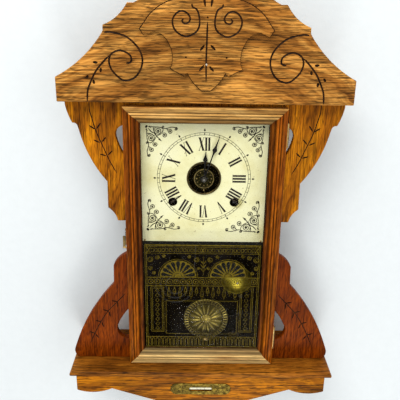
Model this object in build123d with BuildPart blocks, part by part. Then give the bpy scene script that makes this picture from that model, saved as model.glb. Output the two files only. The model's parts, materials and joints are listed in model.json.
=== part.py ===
from build123d import *
from math import cos, hypot, pi, radians, sin
import os

os.makedirs("parts", exist_ok=True)

# A carved oak wall clock. Sizes are in millimetres, +Z is up and the front faces -Y.
# The origin is the hole of the hanger plate. The plane Y = 0 lies against the wall.

# Case
case_half_width = 121.0
case_depth = 90.0
case_wall = 8.0
back_thickness = 6.0
case_rise = 118.0
case_fall = 339.5
dial_drop = 190.0

# Boards round the case
wing_thickness = 12.0
board_reach = 101.5
crown_thickness = 22.0
crown_gap = 8.5
crest_height = 195.5
overlay_thickness = 5.0
shelf_thickness = 9.5
shelf_overhang = 6.5
shelf_nose = 45.0
shelf_rounding = 0.42 * shelf_thickness
apron_thickness = 15.0
apron_set_back = 5.0
apron_inset = 3.7
block_size = 16.0

# Hanger
hanger_hole_radius = 4.0
hanger_thickness = 2.0
hanger_half_width = 12.0
hanger_half_height = 30.0
nail_room_radius = 9.0
tab_half_width = 45.0
tab_rise = 40.0

# Door
door_lap = 5.2
door_front = 20.0
door_gap = 1.5
door_rise = 119.5
door_fall = 338.5
frame_width = 26.0
glass_thickness = 2.2
glass_set = 10.5
rebate = 6.0
glass_play = 0.3
bead_size = 4.5

# Hinges and latch
hinge_pin_radius = 1.2
hinge_barrel_radius = 2.8
hinge_length = 36.0
hinge_offset = 2.2
hinge_stand = 3.8
hinge_leaf = 1.2
hinge_heights = (75.0, -290.0)
running_gap = 0.05
clear_gap = 0.3
catch_drop = 117.0
catch_pin_radius = 1.5
latch_arm = 21.0
latch_thickness = 1.6
latch_hub_radius = 4.5
latch_stand = 3.2
thumb_depth = 4.2
thumb_width = 2.4
thumb_height = 21.0

# Dial and hands
dial_set_back = 8.0
dial_thickness = 1.0
dial_side_room = 11.5
dial_rise = 97.0
dial_fall = 114.3
dial_hole_radius = 26.0
winding_hole_radius = 7.5
winding_spread = 50.6
winding_drop = 41.0
dial_ring_width = 3.2
alarm_disc_radius = 17.0
support_width = 20.0
support_depth = 12.0
minute_hand_length = 76.0
hour_hand_length = 46.0
minute_hand_angle = 18.5
hour_hand_angle = 3.0
hand_thickness = 0.8
alarm_disc_stand = 2.0
hour_hand_stand = 3.6
minute_hand_stand = 6.0
hand_nut_stand = 8.6
hand_nut_radius = 4.0
hand_tenon_radius = 1.4

# Movement
movement_set_back = 20.0
plate_thickness = 1.6
plate_spacing = 32.4
plate_half_width = 64.0
plate_rise = 64.0
plate_fall = 58.0
pillar_radius = 4.0
centre_arbor_radius = 2.2
hour_pipe_wall = 0.95
winding_arbor_radius = 3.45
winding_square = 4.6
winding_tip_gap = 2.0
great_wheel_teeth = 48
great_wheel_radius = 31.0
ratchet_teeth = 16
ratchet_radius = 12.0
spring_band = 0.9
spring_half_turns = 7
spring_width = 19.0
spring_reach = 36.1

# Motion work
pinion_teeth = 12
minute_wheel_teeth = 36
minute_pinion_teeth = 10
hour_wheel_teeth = 40
motion_spread = 12.05
cannon_set_back = 16.4
cannon_thickness = 2.2
hour_wheel_set_back = 12.6
hour_wheel_thickness = 1.2
stud_radius = 0.95

# Escapement and pendulum
pendulum_offset = 8.0
verge_height = 50.0
verge_to_escape = 22.0
suspension_height = 58.0
escape_teeth = 30
escape_radius = 16.0
escape_arbor_radius = 1.2
rod_set_back = 11.2
rod_radius = 0.7
bob_drop = 263.5
bob_radius = 39.7
bob_thickness = 8.0
rating_nut_radius = 6.0

# Gong, bell and alarm
gong_x = -48.0
gong_drop = 232.0
gong_stand = 18.0
gong_band = 1.6
gong_width = 3.0
gong_half_turns = 6
gong_inner_radius = 13.0
gong_pitch = 4.6
bell_x = 65.5
bell_drop = 214.0
bell_radius = 28.5
bell_depth = 16.0
bell_stand = 32.0
bell_wall = 1.2
alarm_x = 61.0
alarm_drop = 306.0
alarm_key_drop = 318.0
alarm_stand = 28.0
alarm_plate = 1.4
key_ring_radius = 5.0
key_ring_spread = 5.2

# Level in the apron
level_half_length = 53.3
level_height = 23.0
level_thickness = 1.5
vial_length = 41.0
vial_radius = 3.8

# Places that follow from the sizes above
front_y = -case_depth
dial_z = -dial_drop
case_top_z = dial_z + case_rise
shelf_z = dial_z - case_fall
crown_z = case_top_z + crown_gap
crown_half_width = case_half_width + board_reach
inner_half_width = case_half_width - case_wall
door_half_width = case_half_width + door_lap
dial_half_width = inner_half_width - dial_side_room
door_front_y = front_y - door_front
door_back_y = front_y - door_gap
dial_y = front_y + dial_set_back
dial_back_y = dial_y + dial_thickness
plate_front_y = front_y + movement_set_back
plate_back_y = plate_front_y + plate_thickness + plate_spacing
movement_rear_y = plate_back_y + plate_thickness
back_front_y = -back_thickness


# A drawing plane that faces the front at depth y, with X to the right and Z up
def facing(y):
    return Plane(origin=(0, y, 0), x_dir=(1, 0, 0), z_dir=(0, -1, 0))


# A half section for a turned piece: X is its radius and Y its depth, about an axis along Y
def half_section(x, z):
    return Plane(origin=(x, 0, z), x_dir=(1, 0, 0), z_dir=(0, 0, 1))


def depth_axis(x, z):
    return Axis((x, 0, z), (0, 1, 0))


# A round bar along Y from the front depth to the back depth
def bar(x, z, radius, front, back, mode=Mode.ADD):
    with Locations((x, (front + back) / 2, z)):
        Cylinder(radius, back - front, rotation=(90, 0, 0), mode=mode)


# A block between two opposite corners
def block(low, high, mode=Mode.ADD):
    size = [high[i] - low[i] for i in range(3)]
    with Locations(tuple((low[i] + high[i]) / 2 for i in range(3))):
        Box(*size, mode=mode)


# The corners of a ring of straight-flanked teeth round a centre
def tooth_ring(teeth, root, tip, base=0.6, land=0.25, turn=0.0, centre=(0, 0)):
    pitch = 2 * pi / teeth
    corners = []
    for number in range(teeth):
        for radius, share in ((root, -base / 2), (tip, -land / 2), (tip, land / 2), (root, base / 2)):
            angle = radians(turn) + (number + share) * pitch
            corners.append((centre[0] + radius * cos(angle), centre[1] + radius * sin(angle)))
    return corners


# A toothed disc between two depths, added to the part that is being built
def toothed_disc(corners, front, back):
    with BuildSketch(facing(front)) as outline:
        with BuildLine():
            Polyline(*corners, close=True)
        make_face()
    extrude(outline.sketch, amount=front - back)


# Windows between the spokes of a wheel
def cut_windows(centre, hub, rim, spoke, front, back, count=4):
    with BuildSketch(facing(front)) as windows:
        with Locations(centre):
            Circle(rim)
            Circle(hub, mode=Mode.SUBTRACT)
            with PolarLocations(0, count):
                Rectangle(rim + hub, spoke, align=(Align.MIN, Align.CENTER), mode=Mode.SUBTRACT)
    extrude(windows.sketch, amount=front - back, mode=Mode.SUBTRACT)


# A wound band of half circles about two centres in turn, growing by one pitch each half turn
def wound_band(centre, inner_radius, pitch, half_turns, band, front, back, side=1, upright=False):
    def place(along, across):
        if upright:
            return (centre[0] + side * across, centre[1] + along)
        return (centre[0] + side * along, centre[1] + across)

    def half_circles(offset):
        arcs = []
        for number in range(half_turns):
            middle = 0 if number % 2 == 0 else pitch
            radius = inner_radius + number * pitch + offset
            sign = 1 if number % 2 == 0 else -1
            arcs.append((
                place(middle + sign * radius, 0),
                place(middle, sign * radius),
                place(middle - sign * radius, 0),
            ))
        return arcs

    inside = half_circles(0)
    outside = half_circles(band)
    with BuildSketch(facing(front)) as coil:
        with BuildLine():
            for arc in inside:
                ThreePointArc(*arc)
            Line(inside[-1][2], outside[-1][2])
            for arc in outside:
                ThreePointArc(*arc)
            Line(outside[0][0], inside[0][0])
        make_face()
    extrude(coil.sketch, amount=front - back)


# Backboard with the hanger tab, its nail room and the recess for the plate
with BuildPart() as backboard:
    with BuildSketch(facing(0)):
        with BuildLine():
            Polyline(
                (tab_half_width, tab_rise - tab_half_width / 2),
                (tab_half_width, case_top_z),
                (case_half_width, case_top_z),
                (case_half_width, shelf_z),
                (-case_half_width, shelf_z),
                (-case_half_width, case_top_z),
                (-tab_half_width, case_top_z),
                (-tab_half_width, tab_rise - tab_half_width / 2),
            )
            ThreePointArc(
                (-tab_half_width, tab_rise - tab_half_width / 2),
                (0, tab_rise),
                (tab_half_width, tab_rise - tab_half_width / 2),
            )
        make_face()
    extrude(amount=back_thickness)
    block(
        (-hanger_half_width, -hanger_thickness, -hanger_half_height),
        (hanger_half_width, 0, hanger_half_height),
        mode=Mode.SUBTRACT,
    )
    bar(0, 0, nail_room_radius, -back_thickness, 0, mode=Mode.SUBTRACT)
backboard.part.label = "backboard"
export_step(backboard.part, "parts/backboard.step")

with BuildPart() as hanger_plate:
    block(
        (-hanger_half_width, -hanger_thickness, -hanger_half_height),
        (hanger_half_width, 0, hanger_half_height),
    )
    bar(0, 0, hanger_hole_radius, -hanger_thickness, 0, mode=Mode.SUBTRACT)
hanger_plate.part.label = "hanger_plate"
export_step(hanger_plate.part, "parts/hanger_plate.step")

# Case sides and top
for side, name in ((-1, "case_side_left"), (1, "case_side_right")):
    with BuildPart() as case_side:
        block(
            (min(side * inner_half_width, side * case_half_width), front_y, shelf_z),
            (max(side * inner_half_width, side * case_half_width), back_front_y, case_top_z - case_wall),
        )
    case_side.part.label = name
    export_step(case_side.part, f"parts/{name}.step")

with BuildPart() as case_top:
    block((-case_half_width, front_y, case_top_z - case_wall), (case_half_width, back_front_y, case_top_z))
case_top.part.label = "case_top"
export_step(case_top.part, "parts/case_top.step")

# Base shelf with a rounded nose on its front and ends
shelf_half_width = crown_half_width + shelf_overhang
shelf_front_y = front_y - shelf_nose
shelf_foot_z = shelf_z - shelf_thickness
with BuildPart() as base_shelf:
    block((-shelf_half_width, shelf_front_y, shelf_foot_z), (shelf_half_width, 0, shelf_z))
    front_edges = base_shelf.edges().filter_by(Axis.X).group_by(Axis.Y)[0]
    end_edges = base_shelf.edges().filter_by(Axis.Y)
    fillet(front_edges + end_edges, radius=shelf_rounding)
base_shelf.part.label = "base_shelf"
export_step(base_shelf.part, "parts/base_shelf.step")

# Apron under the shelf: a lobe at each end, a cusp, then a slope down to the middle pendant
apron_half_width = crown_half_width - apron_inset
apron_front_y = shelf_front_y + apron_set_back
apron_lobe_drop = 31.5
apron_cusp = (apron_half_width - 61.7, shelf_foot_z - 28.3)
apron_pendant = (48.0, shelf_foot_z - 64.0)
apron_drop = 79.0
with BuildPart() as apron:
    with BuildSketch(facing(apron_front_y)):
        with BuildLine():
            ThreePointArc(
                (-apron_pendant[0], apron_pendant[1]),
                (0, shelf_foot_z - apron_drop),
                apron_pendant,
            )
            for side in (-1, 1):
                cusp = (side * apron_cusp[0], apron_cusp[1])
                lobe_end = (side * apron_half_width, shelf_foot_z - apron_lobe_drop)
                Line((side * apron_pendant[0], apron_pendant[1]), cusp)
                ThreePointArc(cusp, (side * (apron_half_width - 27), shelf_foot_z - 36.5), lobe_end)
                Line(lobe_end, (side * apron_half_width, shelf_foot_z))
            Line((-apron_half_width, shelf_foot_z), (apron_half_width, shelf_foot_z))
        make_face()
    extrude(amount=-apron_thickness)
    # Pocket behind the level's plate for its glass
    level_z = shelf_foot_z - 27.2
    block(
        (-vial_length / 2 - 2, apron_front_y, level_z - vial_radius - 1),
        (vial_length / 2 + 2, apron_front_y + 2 * vial_radius + 1, level_z + vial_radius + 1),
        mode=Mode.SUBTRACT,
    )
apron.part.label = "apron"
export_step(apron.part, "parts/apron.step")

# Spirit level let into the apron
with BuildPart() as level_plate:
    with BuildSketch(facing(apron_front_y)):
        with Locations((0, level_z)):
            SlotOverall(2 * level_half_length, level_height)
            SlotOverall(vial_length, 2 * vial_radius + 0.4, mode=Mode.SUBTRACT)
    extrude(amount=level_thickness)
    chamfer(level_plate.faces().sort_by(Axis.Y)[0].outer_wire().edges(), length=0.6)
level_plate.part.label = "level_plate"
export_step(level_plate.part, "parts/level_plate.step")

with BuildPart() as level_vial:
    with Locations((0, apron_front_y + vial_radius + clear_gap, level_z)):
        Cylinder(vial_radius, vial_length, rotation=(0, 90, 0))
    fillet(level_vial.edges(), radius=0.4 * vial_radius)
level_vial.part.label = "level_vial"
export_step(level_vial.part, "parts/level_vial.step")

# Crown board: coved shoulders in two steps and a rounded crest
crown_front_y = front_y - crown_thickness
crown_end = 36.5
shoulder_one = (crown_half_width - 71.0, crown_z + 99.0)
step_one = (crown_half_width - 73.0, crown_z + 102.5)
step_one_top = (crown_half_width - 73.0, crown_z + 110.5)
shoulder_two = (crown_half_width - 108.7, crown_z + 140.9)
step_two = (crown_half_width - 117.7, crown_z + 140.9)
crest_start = (crown_half_width - 150.0, crown_z + 171.0)
with BuildPart() as crown:
    with BuildSketch(facing(crown_front_y)):
        with BuildLine():
            Line((-crown_half_width, crown_z), (crown_half_width, crown_z))
            for side in (-1, 1):
                def there(point):
                    return (side * point[0], point[1])

                end_top = (crown_half_width, crown_z + crown_end)
                Line(there((crown_half_width, crown_z)), there(end_top))
                ThreePointArc(
                    there(end_top),
                    there((crown_half_width - 42.5, crown_z + 66)),
                    there(shoulder_one),
                )
                Line(there(shoulder_one), there(step_one))
                Line(there(step_one), there(step_one_top))
                ThreePointArc(
                    there(step_one_top),
                    there((crown_half_width - 92.0, crown_z + 121)),
                    there(shoulder_two),
                )
                Line(there(shoulder_two), there(step_two))
                ThreePointArc(
                    there(step_two),
                    there((crown_half_width - 136, crown_z + 153)),
                    there(crest_start),
                )
            ThreePointArc(
                (-crest_start[0], crest_start[1]),
                (0, crown_z + crest_height),
                crest_start,
            )
        make_face()
    extrude(amount=-crown_thickness)
    crown_rim = crown.faces().sort_by(Axis.Y)[0].outer_wire().edges().filter_by_position(
        Axis.Z, crown_z + 1, crown_z + crest_height + 50
    )
    chamfer(crown_rim, length=1.2)
crown.part.label = "crown"
export_step(crown.part, "parts/crown.step")

# Shield that is planted on the crown
with BuildPart() as crown_overlay:
    with BuildSketch(facing(crown_front_y - overlay_thickness)):
        with BuildLine():
            Line((-6.2, crown_z + 19.8), (6.2, crown_z + 19.8))
            for side in (-1, 1):
                def spot(x, rise):
                    return (side * x, crown_z + rise)

                ThreePointArc(spot(6.2, 19.8), spot(15.0, 27.4), spot(22.6, 36.5))
                Polyline(
                    spot(22.6, 36.5),
                    spot(27.8, 45.1),
                    spot(32.2, 40.8),
                    spot(52.6, 51.2),
                    spot(50.5, 55),
                )
                ThreePointArc(spot(50.5, 55), spot(49.8, 74), spot(57.5, 91.5))
                ThreePointArc(spot(57.5, 91.5), spot(66.5, 99.8), spot(77.3, 102.3))
                Polyline(spot(77.3, 102.3), spot(89.8, 97), spot(95.6, 105.7), spot(83.4, 122.7))
                ThreePointArc(spot(83.4, 122.7), spot(66, 137.5), spot(45, 146))
                ThreePointArc(spot(45, 146), spot(22, 156), spot(0, 172))
        make_face()
    extrude(amount=-overlay_thickness)
crown_overlay.part.label = "crown_overlay"
export_step(crown_overlay.part, "parts/crown_overlay.step")

# Upper wings hang from behind the crown, with half a teardrop cut beside the case
wing_top_rise = 30.0
upper_wing_fall = 198.8
for side, name in ((-1, "wing_upper_left"), (1, "wing_upper_right")):
    def from_crown(out, rise):
        return (side * (case_half_width + out), crown_z + rise)

    with BuildPart() as wing_upper:
        with BuildSketch(facing(front_y)):
            with BuildLine():
                Polyline(
                    from_crown(0, -upper_wing_fall),
                    from_crown(0, wing_top_rise),
                    from_crown(board_reach - 6.5, wing_top_rise),
                    from_crown(board_reach - 6.5, -7.5),
                )
                ThreePointArc(
                    from_crown(board_reach - 6.5, -7.5),
                    from_crown(91, -23),
                    from_crown(85.3, -36.5),
                )
                ThreePointArc(from_crown(85.3, -36.5), from_crown(80.5, -37), from_crown(77.6, -40.5))
                Line(from_crown(77.6, -40.5), from_crown(75.4, -48.2))
                ThreePointArc(from_crown(75.4, -48.2), from_crown(59.6, -93), from_crown(34.8, -131.4))
                Line(from_crown(34.8, -131.4), from_crown(35.3, -176))
                ThreePointArc(from_crown(35.3, -176), from_crown(26.5, -184.3), from_crown(20.9, -195.5))
                Polyline(
                    from_crown(20.9, -195.5),
                    from_crown(20.3, -upper_wing_fall),
                    from_crown(0, -upper_wing_fall),
                )
            make_face()
            with BuildLine():
                ThreePointArc(from_crown(0, -39), from_crown(14.5, -43.5), from_crown(18.6, -56.5))
                ThreePointArc(from_crown(18.6, -56.5), from_crown(12.5, -76), from_crown(0, -95))
                Line(from_crown(0, -95), from_crown(0, -39))
            make_face(mode=Mode.SUBTRACT)
        extrude(amount=-wing_thickness)
    wing_upper.part.label = name
    export_step(wing_upper.part, f"parts/{name}.step")

# Lower wings stand on the shelf and flare out, with half a teardrop cut beside the case
lower_wing_rise = 209.5
for side, name in ((-1, "wing_lower_left"), (1, "wing_lower_right")):
    def from_shelf(out, rise):
        return (side * (case_half_width + out), shelf_z + rise)

    with BuildPart() as wing_lower:
        with BuildSketch(facing(front_y)):
            with BuildLine():
                Polyline(
                    from_shelf(board_reach - 1.5, 0),
                    from_shelf(0, 0),
                    from_shelf(0, lower_wing_rise),
                    from_shelf(8, 207.5),
                )
                ThreePointArc(from_shelf(8, 207.5), from_shelf(20.5, 199), from_shelf(29, 187.9))
                Polyline(from_shelf(29, 187.9), from_shelf(30.5, 184.3), from_shelf(31.2, 150))
                ThreePointArc(
                    from_shelf(31.2, 150),
                    from_shelf(73, 93),
                    from_shelf(board_reach + 4.5, 17.9),
                )
                ThreePointArc(
                    from_shelf(board_reach + 4.5, 17.9),
                    from_shelf(board_reach + 4.2, 8),
                    from_shelf(board_reach - 1.5, 0),
                )
            make_face()
            with BuildLine():
                ThreePointArc(from_shelf(0, 108), from_shelf(17, 87), from_shelf(28, 64.5))
                ThreePointArc(from_shelf(28, 64.5), from_shelf(23, 47), from_shelf(0, 42.5))
                Line(from_shelf(0, 42.5), from_shelf(0, 108))
            make_face(mode=Mode.SUBTRACT)
        extrude(amount=-wing_thickness)
    wing_lower.part.label = name
    export_step(wing_lower.part, f"parts/{name}.step")

# Glue strip that joins the case top to the crown, and glue blocks behind the apron
with BuildPart() as glue_blocks:
    block(
        (-case_half_width, front_y, case_top_z),
        (case_half_width, front_y + block_size, crown_z + wing_top_rise),
    )
    apron_back_y = apron_front_y + apron_thickness
    for place in (-0.7, 0, 0.7):
        middle = place * apron_half_width
        with BuildSketch(Plane(origin=(middle - block_size, 0, 0), x_dir=(0, 1, 0), z_dir=(1, 0, 0))):
            with BuildLine():
                Polyline(
                    (apron_back_y, shelf_foot_z),
                    (apron_back_y + block_size, shelf_foot_z),
                    (apron_back_y, shelf_foot_z - block_size),
                    close=True,
                )
            make_face()
        extrude(amount=2 * block_size)
glue_blocks.part.label = "glue_blocks"
export_step(glue_blocks.part, "parts/glue_blocks.step")

# Hinge line of the door, just outside its right edge and in front of the wing
hinge_x = door_half_width + hinge_offset
hinge_y = front_y - hinge_stand
door_top_z = dial_z + door_rise
door_foot_z = dial_z - door_fall
door_depth = door_front - door_gap
catch_z = dial_z - catch_drop
catch_pin_y = front_y - 8.0


# Section of the door frame: x runs inwards from the outer edge and y backwards from the front
def frame_section(plane):
    sight = frame_width
    with BuildSketch(plane) as section:
        with BuildLine():
            Line((0, door_depth), (0, 3))
            ThreePointArc((0, 3), (0.9, 0.9), (3, 0))
            Line((3, 0), (8, 0))
            Line((8, 0), (8.6, 1.6))
            ThreePointArc((8.6, 1.6), (10.7, 0), (12.8, 1.6))
            ThreePointArc((12.8, 1.6), (14.8, 0.7), (16.6, 2.4))
            Line((16.6, 2.4), (17.4, 3.2))
            ThreePointArc((17.4, 3.2), (19.4, 6.6), (23.2, 8))
            ThreePointArc((23.2, 8), (25.2, 7.8), (sight, 9.4))
            Line((sight, 9.4), (sight, glass_set))
            Line((sight, glass_set), (sight - rebate, glass_set))
            Line((sight - rebate, glass_set), (sight - rebate, door_depth))
            Line((sight - rebate, door_depth), (0, door_depth))
        make_face()
    return section.sketch


# Door frame of four moulded members, mitred at the corners
left, right, top, foot = -door_half_width, door_half_width, door_top_z, door_foot_z
door_height = top - foot
door_members = {
    "door_stile_left": ((left, foot), (1, 0), (0, 1), door_height),
    "door_stile_right": ((right, top), (-1, 0), (0, -1), door_height),
    "door_rail_top": ((left, top), (0, -1), (1, 0), 2 * door_half_width),
    "door_rail_bottom": ((right, foot), (0, 1), (-1, 0), 2 * door_half_width),
}
for name, (corner, inward, along, length) in door_members.items():
    with BuildPart() as member:
        start = Plane(
            origin=(corner[0], door_front_y, corner[1]),
            x_dir=(inward[0], 0, inward[1]),
            z_dir=(along[0], 0, along[1]),
        )
        extrude(frame_section(start), amount=length)
        mitre = []
        for run, depth in (
            (0, 0),
            (length, 0),
            (length - frame_width, frame_width),
            (frame_width, frame_width),
        ):
            mitre.append((
                corner[0] + run * along[0] + depth * inward[0],
                corner[1] + run * along[1] + depth * inward[1],
            ))
        with BuildSketch(facing(door_front_y)) as keep:
            with BuildLine():
                Polyline(*mitre, close=True)
            make_face()
        extrude(keep.sketch, amount=-door_front, mode=Mode.INTERSECT)
        if name == "door_stile_right":
            for height in hinge_heights:
                middle = dial_z + height
                with Locations((hinge_x, hinge_y, middle)):
                    Cylinder(hinge_barrel_radius + clear_gap, hinge_length + 4.5, mode=Mode.SUBTRACT)
                block(
                    (right - 0.5, hinge_y - 12, middle - hinge_length / 2),
                    (right + 1, hinge_y, middle + hinge_length / 2),
                    mode=Mode.SUBTRACT,
                )
        if name == "door_stile_left":
            with Locations((left + 4, catch_pin_y, catch_z)):
                Cylinder(catch_pin_radius, 8, rotation=(0, 90, 0), mode=Mode.SUBTRACT)
    member.part.label = name
    export_step(member.part, f"parts/{name}.step")

# Glass and the beads that hold it from behind
glass_half_width = door_half_width - frame_width + rebate - glass_play
glass_top_z = door_top_z - frame_width + rebate - glass_play
glass_foot_z = door_foot_z + frame_width - rebate + glass_play
glass_y = door_front_y + glass_set
with BuildPart() as door_glass:
    block(
        (-glass_half_width, glass_y, glass_foot_z),
        (glass_half_width, glass_y + glass_thickness, glass_top_z),
    )
door_glass.part.label = "door_glass"
export_step(door_glass.part, "parts/door_glass.step")

bead_y = glass_y + glass_thickness
bead_back_y = door_back_y - 1.0
with BuildPart() as glass_beads:
    for side in (-1, 1):
        outer = side * glass_half_width
        inner = outer - side * bead_size
        block(
            (min(outer, inner), bead_y, glass_foot_z + bead_size),
            (max(outer, inner), bead_back_y, glass_top_z - bead_size),
        )
    block(
        (-glass_half_width, bead_y, glass_top_z - bead_size),
        (glass_half_width, bead_back_y, glass_top_z),
    )
    block(
        (-glass_half_width, bead_y, glass_foot_z),
        (glass_half_width, bead_back_y, glass_foot_z + bead_size),
    )
glass_beads.part.label = "glass_beads"
export_step(glass_beads.part, "parts/glass_beads.step")

# Butt hinges: three knuckles on the case leaf, two on the door leaf
knuckle_count = 5
knuckle = hinge_length / knuckle_count


def knuckle_span(middle, number):
    low = middle - hinge_length / 2 + number * knuckle
    return low + running_gap, low + knuckle - running_gap


with BuildPart() as hinge_leaves_case:
    for height in hinge_heights:
        middle = dial_z + height
        block(
            (hinge_x - 16, front_y - hinge_leaf, middle - hinge_length / 2),
            (hinge_x - hinge_barrel_radius - 0.7, front_y, middle + hinge_length / 2),
        )
        for number in (0, 2, 4):
            low, high = knuckle_span(middle, number)
            block(
                (hinge_x - hinge_barrel_radius - 0.7, front_y - hinge_leaf, low),
                (hinge_x + 0.6, front_y, high),
            )
            block((hinge_x - 0.6, hinge_y, low), (hinge_x + 0.6, front_y, high))
            with Locations((hinge_x, hinge_y, (low + high) / 2)):
                Cylinder(hinge_barrel_radius, high - low)
        with Locations((hinge_x, hinge_y, middle)):
            Cylinder(hinge_pin_radius, hinge_length + 4, mode=Mode.SUBTRACT)
hinge_leaves_case.part.label = "hinge_leaves_case"
export_step(hinge_leaves_case.part, "parts/hinge_leaves_case.step")

with BuildPart() as hinge_leaves_door:
    for height in hinge_heights:
        middle = dial_z + height
        block(
            (right - 0.5, hinge_y - 12, middle - hinge_length / 2),
            (right + 0.7, hinge_y - hinge_barrel_radius - clear_gap, middle + hinge_length / 2),
        )
        for number in (1, 3):
            low, high = knuckle_span(middle, number)
            block(
                (right - 0.5, hinge_y - hinge_barrel_radius - clear_gap, low),
                (right + 0.7, hinge_y, high),
            )
            with Locations((hinge_x, hinge_y, (low + high) / 2)):
                Cylinder(hinge_barrel_radius, high - low)
                Cylinder(hinge_pin_radius + running_gap, high - low, mode=Mode.SUBTRACT)
hinge_leaves_door.part.label = "hinge_leaves_door"
export_step(hinge_leaves_door.part, "parts/hinge_leaves_door.step")

with BuildPart() as hinge_pins:
    for height in hinge_heights:
        with Locations((hinge_x, hinge_y, dial_z + height)):
            Cylinder(hinge_pin_radius, hinge_length)
        for end in (-1, 1):
            with Locations((hinge_x, hinge_y, dial_z + height + end * (hinge_length / 2 + 0.8))):
                Cylinder(hinge_barrel_radius - 0.4, 1.6)
hinge_pins.part.label = "hinge_pins"
export_step(hinge_pins.part, "parts/hinge_pins.step")

# Catch pin in the door's left edge and the turning latch on the case side
latch_plane_x = left - latch_stand
with BuildPart() as door_catch_pin:
    with Locations(((left + 8 + latch_plane_x - latch_thickness - 2) / 2, catch_pin_y, catch_z)):
        Cylinder(catch_pin_radius, left + 8 - (latch_plane_x - latch_thickness - 2), rotation=(0, 90, 0))
door_catch_pin.part.label = "door_catch_pin"
export_step(door_catch_pin.part, "parts/door_catch_pin.step")

latch_pivot_y = catch_pin_y + latch_arm
with BuildPart() as latch:
    latch_plane = Plane(origin=(latch_plane_x, 0, 0), x_dir=(0, 1, 0), z_dir=(1, 0, 0))
    with BuildSketch(latch_plane) as latch_outline:
        with Locations((latch_pivot_y, catch_z)):
            Circle(latch_hub_radius)
        with Locations((latch_pivot_y, catch_z + latch_arm / 2)):
            Rectangle(5, latch_arm)
        with Locations((latch_pivot_y, catch_z + latch_arm)):
            Circle(4.6)
            Circle(catch_pin_radius + clear_gap, mode=Mode.SUBTRACT)
        with Locations((latch_pivot_y - 4, catch_z + latch_arm)):
            Rectangle(8, 2 * (catch_pin_radius + clear_gap), mode=Mode.SUBTRACT)
    extrude(amount=-latch_thickness)
    with Locations((latch_plane_x - latch_thickness - 2.0, latch_pivot_y - 5, catch_z + 3)):
        Box(thumb_depth, thumb_width, thumb_height)
    fillet(latch.faces().sort_by(Axis.X)[0].edges(), radius=0.9)
    with Locations(((latch_plane_x - case_half_width) / 2 - 0.15, latch_pivot_y, catch_z)):
        Cylinder(3.2, -case_half_width - latch_plane_x - 0.3, rotation=(0, 90, 0))
latch.part.label = "latch"
export_step(latch.part, "parts/latch.step")

# Dial plate with the centre hole and two winding holes
with BuildPart() as dial_plate:
    block(
        (-dial_half_width, dial_y, dial_z - dial_fall),
        (dial_half_width, dial_back_y, dial_z + dial_rise),
    )
    bar(0, dial_z, dial_hole_radius, dial_y, dial_back_y, mode=Mode.SUBTRACT)
    for side in (-1, 1):
        bar(
            side * winding_spread,
            dial_z - winding_drop,
            winding_hole_radius,
            dial_y,
            dial_back_y,
            mode=Mode.SUBTRACT,
        )
dial_plate.part.label = "dial_plate"
export_step(dial_plate.part, "parts/dial_plate.step")

# Wooden strips that the dial is screwed to
with BuildPart() as dial_supports:
    for side in (-1, 1):
        outer = side * inner_half_width
        inner = outer - side * support_width
        block(
            (min(outer, inner), dial_back_y, dial_z - dial_fall),
            (max(outer, inner), dial_back_y + support_depth, dial_z + dial_rise),
        )
dial_supports.part.label = "dial_supports"
export_step(dial_supports.part, "parts/dial_supports.step")

# Rolled brass ring round the centre hole
with BuildPart() as dial_ring:
    with BuildSketch(half_section(0, dial_z)):
        ring_inner = dial_hole_radius - 1.0
        with BuildLine():
            Line((ring_inner, dial_back_y), (ring_inner, dial_y - 1.0))
            Polyline(
                (ring_inner, dial_y - 1.0),
                (ring_inner + 0.3 * dial_ring_width, dial_y - 1.8),
                (ring_inner + 0.7 * dial_ring_width, dial_y - 1.8),
                (ring_inner + dial_ring_width, dial_y),
            )
            Line((ring_inner + dial_ring_width, dial_y), (dial_hole_radius - 0.1, dial_y))
            Line((dial_hole_radius - 0.1, dial_y), (dial_hole_radius - 0.1, dial_back_y))
            Line((dial_hole_radius - 0.1, dial_back_y), (ring_inner, dial_back_y))
        make_face()
    revolve(axis=depth_axis(0, dial_z))
dial_ring.part.label = "dial_ring"
export_step(dial_ring.part, "parts/dial_ring.step")

# Movement plates with their bearing holes
hour_pipe_radius = centre_arbor_radius + running_gap + hour_pipe_wall
verge_z = dial_z + verge_height
escape_z = verge_z - verge_to_escape
suspension_z = dial_z + suspension_height
winding_z = dial_z - winding_drop
hammer_arbor = (-7.0, dial_z - 50.0)
pillar_places = [
    (-winding_spread + spring_reach, winding_z),
    (winding_spread - spring_reach, winding_z),
    (-plate_half_width + 6, dial_z + plate_rise - 12),
    (plate_half_width - 6, dial_z + plate_rise - 12),
]
bearings = [
    (0, dial_z, centre_arbor_radius),
    (-winding_spread, winding_z, winding_arbor_radius),
    (winding_spread, winding_z, winding_arbor_radius),
    (pendulum_offset, verge_z, escape_arbor_radius),
    (pendulum_offset, escape_z, escape_arbor_radius),
    (hammer_arbor[0], hammer_arbor[1], escape_arbor_radius),
]


# One movement plate with clipped upper corners
def movement_plate(front):
    with BuildSketch(facing(front)) as outline:
        with BuildLine():
            Polyline(
                (-plate_half_width, dial_z - plate_fall),
                (plate_half_width, dial_z - plate_fall),
                (plate_half_width, dial_z + plate_rise - 10),
                (plate_half_width - 10, dial_z + plate_rise),
                (-plate_half_width + 10, dial_z + plate_rise),
                (-plate_half_width, dial_z + plate_rise - 10),
                close=True,
            )
        make_face()
        with Locations((-34, dial_z + 30), (34, dial_z + 30), (-34, dial_z - 2), (34, dial_z - 2)):
            SlotOverall(20, 14, rotation=90, mode=Mode.SUBTRACT)
    extrude(outline.sketch, amount=-plate_thickness)
    for x, z, radius in bearings:
        bar(x, z, radius + running_gap, front, front + plate_thickness, mode=Mode.SUBTRACT)


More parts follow.
